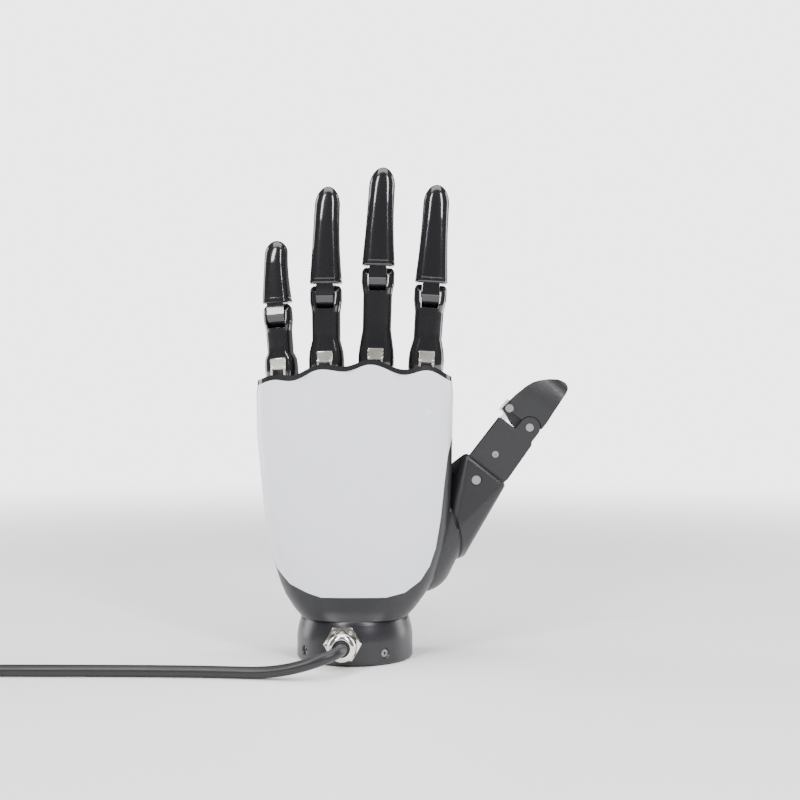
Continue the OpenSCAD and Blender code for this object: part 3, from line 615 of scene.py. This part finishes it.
def disc(matrix, r, z, sides=96):
    """Points of a circle, placed by a matrix."""
    return placed(turned_grid([(r, z)], sides), matrix).reshape(-1, 3)


FLEX = Matrix.Translation(Vector((48.5, 8.0, 70.0))) @ Matrix.Rotation(math.radians(38), 4, "Y")


def housing_points(margin):
    """Seat disc and the round corners that the thumb's housing spans, grown by the margin."""
    seat = seat_frame()
    clouds = [disc(seat, SEAT_R + margin, 0.4 - margin), disc(seat, SEAT_R + margin, 2.9)]
    for x, y, z, r in ((-7.4, 7, 4.2, 2), (-7.4, -7, 4.2, 2), (8.8, 7, 4.2, 2), (8.8, -7, 4.2, 2),
                       (-9.6, 5, -4.6, 2.6)):
        middle = placed(np.array([[x, y, z]]), FLEX)[0]
        clouds.append(ball(middle, r + margin, 16, 24))
    return clouds


shell = palm_solid("black_shell_skin", 17.0, 119.0, 0.0, shell_black)
thenar = hull_of("bulge", [ball((25.6, 5.5, 38.2), 13.8), disc(seat_frame(), SEAT_R, -1.0)], shell_black)
carve(shell, thenar, "UNION")
carve(shell, palm_solid("hollow", 15.0, 121.0, 2.0, shell_black))
carve(shell, hull_of("housing_space", housing_points(0.35), shell_black))
wide = COVER_OUTLINE + [(42.0, 170.0), (-42.0, 170.0)]
carve(shell, prism("cover_space", wide, -40.0, 0.0, (0, 2, 1)))
high = [(-60, 200), (9, 200), (60, 200), (60, 96.5), (9, 96.5), (-1, 108.5), (-60, 108.5)]
carve(shell, prism("palm_edge", high, -60.0, 60.0, (1, 2, 0)))
carve(shell, prism("top", [(-60, 105), (60, 105), (60, 140), (-60, 140)], -60, 60, (0, 2, 1)))
rounded_edges(shell, 0.3, 2, 50)
smooth_by_angle(shell, 35)
finished(shell, "palm", "black_shell", "palm_shell")

# %% [markdown]
# ## Rim, wrist and gland
# The thin black rim stands above the cover. The wrist ring is turned, then drilled. The gland has a
# six-sided body, a domed nut with fine flats and a rubber seal.

# %% Knuckle rim
def rim_grid(cols=260, rows=12):
    """A band over the cover's crest: height from the crest to 1.9 above it, with a round top."""
    half = np.linspace(-1, 1, cols)[None, :]
    v = np.linspace(0, 1, rows)[:, None]
    x = 38.4 * half * np.ones_like(v)
    z = eased(CREST, x.ravel()).reshape(x.shape) - 0.2 + 2.1 * v
    share = np.clip(np.abs(x) / np.where(x < 0, table(LEFT, z), table(RIGHT, z)), 0, 1)
    deep = table(BACK, z) - 0.15 - 0.5 * v ** 6
    y = -deep * (1 - share ** SQUARE) ** (1 / SQUARE)
    for middle, depth in ((-20.3, 0.75), (-1.7, 0.85), (17.8, 0.75)):
        y += depth * np.exp(-((x - middle) / 3.4) ** 2)
    return np.stack([x, y, z], axis=-1)


rim = mesh_from_grid("knuckle_rim_band", rim_grid(), rim_black, caps=False, closed=False)
thicken(rim, 1.8)
rounded_edges(rim, 0.3, 2, 50)
smooth_by_angle(rim, 60)
finished(rim, "palm", "black_shell")

# %% Wrist ring
ring_profile = [(21.8, 0.0), (22.6, 0.25), (23.0, 0.9), (23.0, 8.8), (22.95, 9.4), (22.6, 12.0),
                (22.1, 13.8), (21.7, 15.2), (21.35, 16.6), (21.0, 17.0)]
inner = [(8.0, 17.0), (8.0, 9.0), (17.5, 9.0), (17.5, 0.4), (17.9, 0.0)]
ring = mesh_from_grid("wrist_collar", turned_grid(ring_profile + inner, 144),
                      wrist_black, caps=False)


def close_tube(piece, rows, cols):
    """Joins the last ring of a grid to its first, so that a profile closes on itself."""
    work = bmesh.new()
    work.from_mesh(piece.data)
    work.verts.ensure_lookup_table()
    for k in range(cols):
        n = (k + 1) % cols
        last = (rows - 1) * cols
        work.faces.new([work.verts[last + k], work.verts[last + n], work.verts[n], work.verts[k]])
    bmesh.ops.recalc_face_normals(work, faces=work.faces)
    work.to_mesh(piece.data)
    work.free()
    return piece


close_tube(ring, len(ring_profile) + len(inner), 144)


def radial(angle, z, r, low, high, name="radial_hole", profile=None):
    """Turned tool that points outwards from the wrist at an angle."""
    matrix = (Matrix.Rotation(math.radians(angle - 90), 4, "Z") @ Matrix.Translation((0, 0, z))
              @ Matrix.Rotation(math.radians(90), 4, "Y"))
    return turned(name, profile or [(r, low), (r, high)], matrix, 48)


for angle in (-57, 33, 123, 213):
    carve(ring, radial(angle, 4.5, 1.5, 16.0, 30.0,
                       profile=[(1.5, 16.0), (1.5, 22.4), (2.1, 23.1), (2.1, 30.0)]))
GLAND = Matrix.Translation((-3.8, 0, 9.5)) @ Matrix.Rotation(math.radians(90), 4, "X")
carve(ring, turned("gland_hole", [(4.6, 10.0), (4.6, 30.0)], GLAND, 64))
rounded_edges(ring, 0.25, 2, 40)
smooth_by_angle(ring, 30)
finished(ring, "palm", "black_wrist", "wrist_ring")

# %% Gland body and nut
def six_sided(profile, flats, bevel):
    """Revolved profile whose radius follows a hexagon with rounded corners:
    r(a) = profile * min(1, blend of the hexagon's own radius)."""
    grid = turned_grid(profile, 192)
    a = np.linspace(0, 2 * np.pi, 192, endpoint=False)
    sector = (a + np.pi / 6) % (np.pi / 3) - np.pi / 6
    hexagon = 1.0 / np.cos(sector)
    grow = np.minimum(hexagon, 1 / math.cos(math.pi / 6) - bevel)
    grid[..., 0] *= 1 + (grow - 1) * flats[:, None]
    grid[..., 1] *= 1 + (grow - 1) * flats[:, None]
    return grid


hexagon_profile = [(3.0, 17.9), (4.3, 17.9), (4.3, 23.55), (5.6, 23.6), (6.28, 23.9), (6.3, 24.3),
                   (6.3, 27.0), (6.28, 27.3), (5.6, 27.6), (3.0, 27.6)]
flats = np.array([0, 0, 0, 0.2, 0.8, 1, 1, 0.8, 0.2, 0], float)
hexagon = outward(mesh_from_grid("gland_hexagon", placed(six_sided(hexagon_profile, flats, 0.02),
                                 GLAND @ Matrix.Rotation(math.radians(30), 4, "Z")), bright_nickel))
smooth_by_angle(hexagon, 28)
finished(hexagon, "palm", "nickel", "gland_body")
nut_profile = [(3.05, 27.7), (5.4, 27.7), (5.8, 27.9), (5.85, 28.3), (5.85, 31.4), (5.8, 32.2),
               (5.65, 33.2), (5.35, 34.0), (4.9, 34.7), (4.4, 35.2), (3.85, 35.5), (3.4, 35.6),
               (3.15, 35.5), (3.05, 35.2)]
nut_flats = np.array([0, 0, .4, .6, .6, .3, .1, 0, 0, 0, 0, 0, 0, 0], float)
nut_grid = six_sided([(r * 0.955 if 0 < f else r, z) for (r, z), f in zip(nut_profile, nut_flats)],
                     nut_flats, 0.05)
nut = mesh_from_grid("gland_dome", placed(nut_grid, GLAND), bright_nickel, caps=False)
close_tube(nut, len(nut_profile), 192)
smooth_by_angle(nut, 35)
finished(nut, "palm", "nickel", "gland_nut")
seal_profile = [(2.25, 30.8), (2.95, 30.8), (2.95, 35.4), (2.7, 35.85), (2.4, 36.0), (2.25, 35.8)]
seal = mesh_from_grid("gland_rubber", placed(turned_grid(seal_profile, 64), GLAND), seal_rubber,
                      caps=False)
close_tube(seal, len(seal_profile), 64)
smooth_by_angle(seal, 40)
finished(seal, "palm", "seal_rubber", "gland_seal")

# %% [markdown]
# ## The fingers
# Each finger has its own frame: x along its hinge, y to the palm, z to the fingertip. The fingertip
# is a loft of rounded rectangles. Its width narrows with a slight waist, its back runs straight and
# then rolls over the end, and the whole shell leans a little to the side as it climbs.

# %% Finger table, in millimetres and degrees
FINGERS = {
    "index": (27.9, 108.3, 3.7, 0, 36.1, 44.3, 6.8, 0.0),
    "middle": (8.2, 109.4, 1.4, 2, 41.8, 44.4, 6.8, 1.0),
    "ring": (-11.4, 108.3, -0.5, 4, 35.7, 43.8, 6.6, 1.2),
    "pinky": (-28.9, 105.6, -3.8, 8, 30.8, 29.6, 5.9, 1.2),
}
TIP_GAP, FLANGE = 4.4, 1.8
EAR_R, TONGUE_R, TONGUE_HALF, HEEL_R = 3.9, 5.3, 3.4, 6.3


def finger_matrix(name, along=0.0):
    """The finger's frame, moved along the finger."""
    x, z, lean, yaw = FINGERS[name][:4]
    return (Matrix.Translation((x, 2.5, z)) @ Matrix.Rotation(math.radians(lean), 4, "Y")
            @ Matrix.Rotation(math.radians(-yaw), 4, "Z") @ Matrix.Translation((0, 0, along)))


def round_end(u, start):
    """1 up to the start, then a quarter circle down to 0."""
    part = np.clip((u - start) / (1 - start), 0, 1)
    return np.sqrt(np.clip(1 - part * part, 0, 1))


def tip_grid(name, inset=0.0, low=FLANGE, cols=96, rows=120, square=3.4):
    """Fingertip loft. u runs from the flange to the end and packs its rows where the end rounds:
    half width = (w - 0.2)(1 - 0.2u - 0.08 sin(pi u)) * round_end(u, 0.8)
    back = -5.6 + 1.4u + 4.2(1 - round_end(u, 0.62));  pad = 5.6 - 0.7u - 0.4 sin(pi u) - ..."""
    half_w, curve = FINGERS[name][6:]
    length = FINGERS[name][5] - TIP_GAP
    t = np.linspace(0, 1, rows)
    u = low / length + (1 - low / length) * (1 - (1 - t) ** 1.7)
    u[-1] = 0.9996
    half = (half_w - 0.2) * (1 - 0.2 * u - 0.08 * np.sin(np.pi * u)) * round_end(u, 0.8) - inset
    middle = curve * u * u
    back = -5.6 + 1.4 * u + 4.2 * (1 - round_end(u, 0.62)) + inset
    pad = 5.6 - 0.7 * u - 0.4 * np.sin(np.pi * u) - 4.9 * (1 - round_end(u, 0.8)) - inset
    half = np.maximum(half, 0.02)
    centre, deep = (back + pad) / 2, np.maximum((pad - back) / 2, 0.02)
    a = np.linspace(0, 2 * np.pi, cols, endpoint=False)[None, :]
    power = square + (2.2 - square) * np.clip((u[:, None] - 0.35) / 0.65, 0, 1)
    c, s = np.cos(a), np.sin(a)
    x = middle[:, None] + half[:, None] * signed_power(c, 2 / power)
    y = centre[:, None] + deep[:, None] * signed_power(s, 2 / power)
    z = TIP_GAP + length * u[:, None] + 0 * a
    return np.stack([x, y, z], axis=-1)


def fingertip(name):
    """The gloss shell: the loft, closed below, with a fine step above its lower edge."""
    grid = tip_grid(name)
    lip = grid[:1].copy()
    middle = lip.mean(axis=1, keepdims=True)
    steps = []
    for shrink, height in ((0.35, 0.05), (0.12, 0.05), (0.0, 0.22)):
        row = lip + (middle - lip) * shrink / 6.0
        row[..., 2] = lip[..., 2] + height
        steps.append(row)
    grid = np.concatenate(steps + [grid[1:]], axis=0)
    return outward(mesh_from_grid(name + "_tip_shell",
                                  placed(grid, finger_matrix(name, FINGERS[name][4])), gloss_black))


for name in FINGERS:
    shell_piece = fingertip(name)
    smooth_by_angle(shell_piece, 40)
    finished(shell_piece, name + "_tip", "black_gloss", name + "_tip_cover")


# %% Tip frames
def tip_base(name):
    """Flange under the shell, and the hinge tongue between the ears, slotted for the coupling rod."""
    rows = []
    whole = tip_grid(name, low=0.0, rows=200)
    flange = whole[whole[:, 0, 2] < TIP_GAP + FLANGE - 0.05]
    first = flange[:1].copy()
    middle = first.mean(axis=1, keepdims=True)
    for shrink, height in ((0.9, 0.0), (0.35, 0.12), (0.1, 0.35)):
        row = first + (middle - first) * shrink / 6.0
        row[..., 2] = TIP_GAP + height
        rows.append(row)
    body = np.concatenate(rows + [flange[flange[:, 0, 2] > TIP_GAP + 0.4]], axis=0)
    last = body[-1:].copy()
    last[..., 2] = TIP_GAP + FLANGE - 0.02
    body = np.concatenate([body, last], axis=0)
    base = outward(mesh_from_grid(name + "_tip_base", body, gloss_black))
    a = np.radians(np.linspace(180, 360, 40))
    tongue = [(TONGUE_R * math.cos(v), TONGUE_R * math.sin(v)) for v in a]
    tongue += [(TONGUE_R - 0.6, 1.0), (TONGUE_R - 0.6, TIP_GAP + 1), (-TONGUE_R + 0.6, TIP_GAP + 1),
               (-TONGUE_R + 0.6, 1.0)]
    carve(base, prism("tongue", tongue, -TONGUE_HALF, TONGUE_HALF, (1, 2, 0)), "UNION")
    slot = [(-0.4, -10), (12, -10), (12, 8.2), (-0.4, 8.2)]
    carve(base, prism("slot", slot, -1.35, 1.35, (1, 2, 0)))
    move = Matrix.Diagonal((MM, MM, MM, 1)) @ finger_matrix(name, FINGERS[name][4]) \
        @ Matrix.Diagonal((1 / MM, 1 / MM, 1 / MM, 1))
    base.data.transform(move)
    rounded_edges(base, 0.25, 2, 40)
    return smooth_by_angle(base, 35)


for name in FINGERS:
    finished(tip_base(name), name + "_tip", "black_gloss", name + "_tip_frame")


# %% Proximal links
def proximal_grid(name, cols=96, rows=110, square=3.6):
    """First link as a loft. Its half width runs foot - waist - shoulder, and its depths follow the
    link's side profile. The heel is a half round about the hinge."""
    length, half_w = FINGERS[name][4], FINGERS[name][6]
    b, foot, waist, ear = half_w, half_w + 0.3, half_w - 1.15, half_w - 0.3
    z = np.concatenate([-HEEL_R * np.cos(np.linspace(0.03, np.pi / 2, 24)),
                        np.linspace(0.4, length - 4, rows - 50),
                        length - 4 + (EAR_R + 3.98) * np.sin(np.linspace(0.04, np.pi / 2, 26))])
    wide = [(-7, b), (4.6, b), (6, foot), (10, foot), (13, foot - 0.25), (length * 0.5, waist),
            (length - 7, waist + 0.1), (length - 4.6, waist + 0.5), (length - 3.2, ear - 0.15),
            (length - 2.6, ear), (length + 2.2, ear), (length + 3.2, ear - 0.4),
            (length + 3.7, ear - 0.9), (length + 4, ear - 1.5)]
    back = [(0, HEEL_R), (8, HEEL_R + 0.2), (length * 0.55, HEEL_R - 0.5), (length - 4, HEEL_R - 0.7),
            (length + 1, 4.6), (length + EAR_R - 0.8, 2.4), (length + EAR_R, 0.3)]
    pad = [(0, HEEL_R), (12, HEEL_R), (length - 11, HEEL_R - 0.6), (length - 5, EAR_R + 0.3),
           (length, EAR_R), (length + 3, 2.4), (length + EAR_R, 0.3)]
    heel = np.sqrt(np.clip(HEEL_R ** 2 - np.minimum(z, 0) ** 2, 0.01, None))
    deep_back = np.where(z < 0, heel, table(back, z))
    deep_pad = np.where(z < 0, heel, table(pad, z))
    half = table(wide, z)
    a = np.linspace(0, 2 * np.pi, cols, endpoint=False)[None, :]
    c, s = np.cos(a), np.sin(a)
    x = half[:, None] * signed_power(c, 2 / square)
    y = np.where(s < 0, deep_back[:, None], deep_pad[:, None]) * signed_power(s, 2 / square)
    return np.stack([x, y, z[:, None] + 0 * a], axis=-1)


def to_finger(piece, name, along=0.0):
    """Moves a mesh made in the finger's own frame, in metres, to its place."""
    move = Matrix.Diagonal((MM, MM, MM, 1)) @ finger_matrix(name, along)
    piece.data.transform(move @ Matrix.Diagonal((1 / MM, 1 / MM, 1 / MM, 1)))
    return piece


def rod_x(name, y, z, r, half, material=None):
    """Round bar along x."""
    matrix = Matrix.Translation((0, y, z)) @ Matrix.Rotation(math.radians(90), 4, "Y")
    return turned(name, [(r, -half), (r, half)], matrix, 48, material)


def proximal(name):
    """Loft with its window for the bracket, the space under its heel, the fork and its knuckle bore."""
    length = FINGERS[name][4]
    link = outward(mesh_from_grid(name + "_link", proximal_grid(name), gloss_black))
    window = [(-20, -20), (20, -20), (20, -2.2), (-0.6, -2.2), (-2.2, -0.6), (-2.2, 13.4), (-20, 13.4)]
    carve(link, prism("window", window, -3.15, 3.15, (1, 2, 0)))
    fork = [(-20, length - TONGUE_R - 0.35), (20, length - TONGUE_R - 0.35), (20, length + 20),
            (-20, length + 20)]
    carve(link, prism("fork", fork, -TONGUE_HALF - 0.175, TONGUE_HALF + 0.175, (1, 2, 0)))
    carve(link, rod_x("knuckle_bore", 0, 0, 1.55, 12))
    rounded_edges(link, 0.22, 2, 45)
    smooth_by_angle(to_finger(link, name), 35)
    return link


for name in FINGERS:
    finished(proximal(name), name + "_proximal", "black_gloss", name + "_proximal")


# %% Nickel brackets
CRANK = (-6.5 * math.cos(math.radians(39)), -6.5 * math.sin(math.radians(39)))


def bracket(name):
    """Lever of the knuckle: a block between two side plates, with the rod's pin at its crank."""
    crank_y, crank_z = CRANK
    arc = [(crank_y + 2.2 * math.cos(v), crank_z + 2.2 * math.sin(v))
           for v in np.radians(np.arange(180, 361, 12))]
    plate = arc + [(-2.2, -1), (-2.2, 12.6), (-4, 12.6), (-4, 10), (-7.2, 9.4), (-7.2, 4)]
    block = prism("block", [(-6.4, 8.6), (-2.2, 8.6), (-2.2, 13.0), (-6.4, 13.0)], -3.1, 3.1,
                          (1, 2, 0), bright_nickel)
    block.name = name + "_bracket"
    for low, high in ((-3.1, -2.1), (2.1, 3.1)):
        carve(block, prism("plate", plate, low, high, (1, 2, 0), bright_nickel), "UNION")
    carve(block, rod_x("crank_pin", crank_y, crank_z, 0.9, 2.4, bright_nickel), "UNION")
    rounded_edges(block, 0.28, 3, 40)
    return smooth_by_angle(to_finger(block, name), 35)


for name in FINGERS:
    finished(bracket(name), name + "_proximal", "nickel", name + "_lever")

# %% [markdown]
# ## The thumb
# Three matt pieces turn about each other: a housing on a round seam, a straight first link with its
# screw, and a wedge-shaped tip on two grey pins.


# %% Thumb housing
def from_flex(piece):
    """Moves a mesh made in the thumb's own frame to its place."""
    move = Matrix.Diagonal((MM, MM, MM, 1)) @ FLEX @ Matrix.Diagonal((1 / MM, 1 / MM, 1 / MM, 1))
    piece.data.transform(move)
    return piece


def rod_y(name, x, z, r, half, material=None, middle=0.0, sides=64):
    """Round bar along y, in the thumb's frame."""
    matrix = Matrix.Translation((x, middle, z)) @ Matrix.Rotation(math.radians(90), 4, "X")
    return turned(name, [(r, -half), (r, half)], matrix, sides, material)


def box_of(name, low, high, material=None):
    """Block between two corners."""
    return prism(name, [(low[0], low[1]), (high[0], low[1]), (high[0], high[1]), (low[0], high[1])],
                 low[2], high[2], (0, 1, 2), material)


def slab(name, outline, depth, material):
    """Outline in x and z, extruded along y about the middle."""
    return prism(name, outline, -depth / 2, depth / 2, (0, 2, 1), material)


def arc_points(x, z, r, start, stop, count):
    """Points on an arc in the x-z plane, angles in degrees from +x to +z."""
    a = np.radians(np.linspace(start, stop, count))
    return [(x + r * math.cos(v), z + r * math.sin(v)) for v in a]


housing = hull_of("thumb_base_shell", housing_points(0.0), thumb_black)
half_gap = 13 / 2 + 0.35
start = 180 + math.degrees(math.asin(3 / 8.4))
mouth = [(-30, 30), (-30, -3)] + arc_points(0, 0, 8.4, start, 360, 40) + [(30, 0), (30, 30)]
carve(housing, from_flex(prism("mouth", mouth, -half_gap, half_gap, (0, 2, 1))))
for middle in (-9.2, 9.2):
    carve(housing, from_flex(rod_y("flex_bore", 0, 0, 2.1, 1.1, middle=middle)))
rounded_edges(housing, 0.4, 3, 42)
smooth_by_angle(housing, 40)
finished(housing, "thumb_base", "black_shell", "thumb_housing")

seam = turned("thumb_seam", [(13.5, -0.9), (13.5, -0.55), (13.15, -0.45), (13.15, -0.2), (13.5, -0.1),
                             (13.5, 0.1)], seat_frame(), 144, rim_black)
smooth_by_angle(seam, 30)
finished(seam, "palm", "black_shell", "thumb_seam_ring")


# %% Thumb links
THUMB_L, HINGE, LINK, TONGUE = 25.9, (4.15, 29.8), (-7.0, 30.9), 3.3
side = [(-7.4, 0.0), (-7.5, THUMB_L), (-0.05, THUMB_L)]
side += arc_points(*HINGE, 4.2, 180, 0, 33)[1:]
side += [(8.35, THUMB_L), (9.2, THUMB_L - 1.6), (10, 8), (9, 3.4)] + arc_points(0, 0, 7.4, 0, -180, 49)[:-1]
link = slab("thumb_link", side, 13, thumb_black)
carve(link, box_of("thumb_fork", (-20, -TONGUE - 0.175, THUMB_L - 7), (40, TONGUE + 0.175, THUMB_L + 23)))
carve(link, box_of("rod_slot", (-7.9, -1.6, 4.4), (-3.9, 1.6, 34)))
carve(link, rod_y("link_bore", 0, 0, 2.05, 20))
carve(link, rod_y("screw_bore", -0.1, 12.8, 1.3, 20))
for middle in (-6.9, 6.9):
    carve(link, rod_y("hinge_end", *HINGE, 1.75, 1.0, middle=middle))
from_flex(link)
rounded_edges(link, 0.7, 4, 38)
smooth_by_angle(link, 40)
finished(link, "thumb_proximal", "black_shell", "thumb_proximal")

tip_side = [(-8.5, 30.2), (-8.3, 32.6), (-7.6, 37.5), (-6.3, 43), (-5.2, 45.8), (-3.7, 48), (-1.5, 50.2),
            (1.2, 52.2), (2.9, 52.9), (4.4, 53.2), (5.5, 53.1), (6.4, 52.6), (7.0, 51.6), (7.4, 50),
            (7.6, 46), (8, 40), (8.4, 36), (8.4, 32.4), (7, 30.4)]
tip = slab("thumb_end", tip_side, 13, thumb_black)
across = [(-6.5, 26), (6.5, 26), (6.5, 42), (5.6, 48), (3.6, 52), (0, 54), (-3.6, 52), (-5.6, 48),
          (-6.5, 42)]
carve(tip, prism("tip_front", across, -30, 30, (1, 2, 0)), "INTERSECT")
tongue = [(-9, 29), (-8.5, 34), (8, 34), (8.35, 29.8)] + arc_points(*HINGE, 4.2, 0, -90, 20)[1:]
tongue += [(-2, 26.6), (-6, 28)]
carve(tip, prism("thumb_tongue", tongue, -TONGUE, TONGUE, (0, 2, 1)), "UNION")
for sign in (-1, 1):
    middle = sign * (6.5 + TONGUE) / 2
    carve(tip, rod_y("ear_space", *HINGE, 4.55, (6.5 - TONGUE) / 2 + 0.01, middle=middle))
    low, high = sorted((sign * TONGUE, sign * 13))
    carve(tip, box_of("ear_gap", (-20, low, 20), (HINGE[0], high, THUMB_L + 2)))
carve(tip, box_of("rod_space", (-20, -1.6, 20), (-2, 1.6, 35)))
for middle in (-6.9, 6.9):
    carve(tip, rod_y("link_end", *LINK, 1.75, 1.0, middle=middle))
from_flex(tip)
rounded_edges(tip, 0.9, 4, 38)
smooth_by_angle(tip, 40)
finished(tip, "thumb_tip", "black_shell", "thumb_tip")

# %% [markdown]
# ## The rest of the look
# Two flat ties hold the coil. The inner works keep their CAD shapes and take the same materials.

# %% Coil ties
def coil_tie(name, degrees):
    """A flat strap round the coil's section: a rounded rectangle swept about it and 5 mm wide."""
    a = np.linspace(0, 2 * np.pi, 64, endpoint=False)
    strap = []
    for width in (-2.5, -2.3, 2.3, 2.5):
        lift = 0.0 if abs(width) > 2.4 else 0.25
        r = COIL_R * 1000 + (6.95 + lift) * signed_power(np.cos(a), 0.45)
        z = 9.05 + (8.95 + lift) * signed_power(np.sin(a), 0.45)
        z = np.maximum(z, 0.12)
        strap.append(np.stack([r, width + 0 * a, z], axis=-1))
    turn = (Matrix.Translation((COIL_MIDDLE[0] * 1000, COIL_MIDDLE[1] * 1000, 0))
            @ Matrix.Rotation(math.radians(degrees), 4, "Z"))
    strap = mesh_from_grid(name, placed(np.array(strap), turn), jacket, caps=False)
    thicken(outward(strap), 0.3)
    return smooth_by_angle(strap, 40)


for index, degrees in enumerate((35, 180)):
    finished(coil_tie(f"coil_tie_{index}", degrees), "palm", "cable_jacket")

# %% Materials for the pieces that keep their CAD shape
LOOKS = {
    "wrist_screws": pin_steel, "palm_frame": motor_metal, "knuckle_rim": rim_black,
    "cover_screws": pin_steel, "knuckle_pins": pin_steel, "control_board": board_green,
    "cable_connector": wrist_black, "thumb_motor": motor_metal, "thumb_flex_pin": pin_steel,
    "thumb_actuator": motor_metal, "thumb_screw": pin_steel, "thumb_coupler": bright_steel,
    "thumb_link_pin": pin_steel, "thumb_hinge_pin": pin_steel,
}
for name in FINGERS:
    LOOKS[name + "_actuator"] = motor_metal
    LOOKS[name + "_push_rod"] = bright_nickel
    LOOKS[name + "_middle_pin"] = pin_steel
    LOOKS[name + "_coupler"] = bright_steel
for node, material in LOOKS.items():
    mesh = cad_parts[node].data
    mesh.materials.clear()
    mesh.materials.append(material)
    smooth_by_angle(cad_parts[node], 30)
print("CAD pieces given a look:", len(LOOKS))
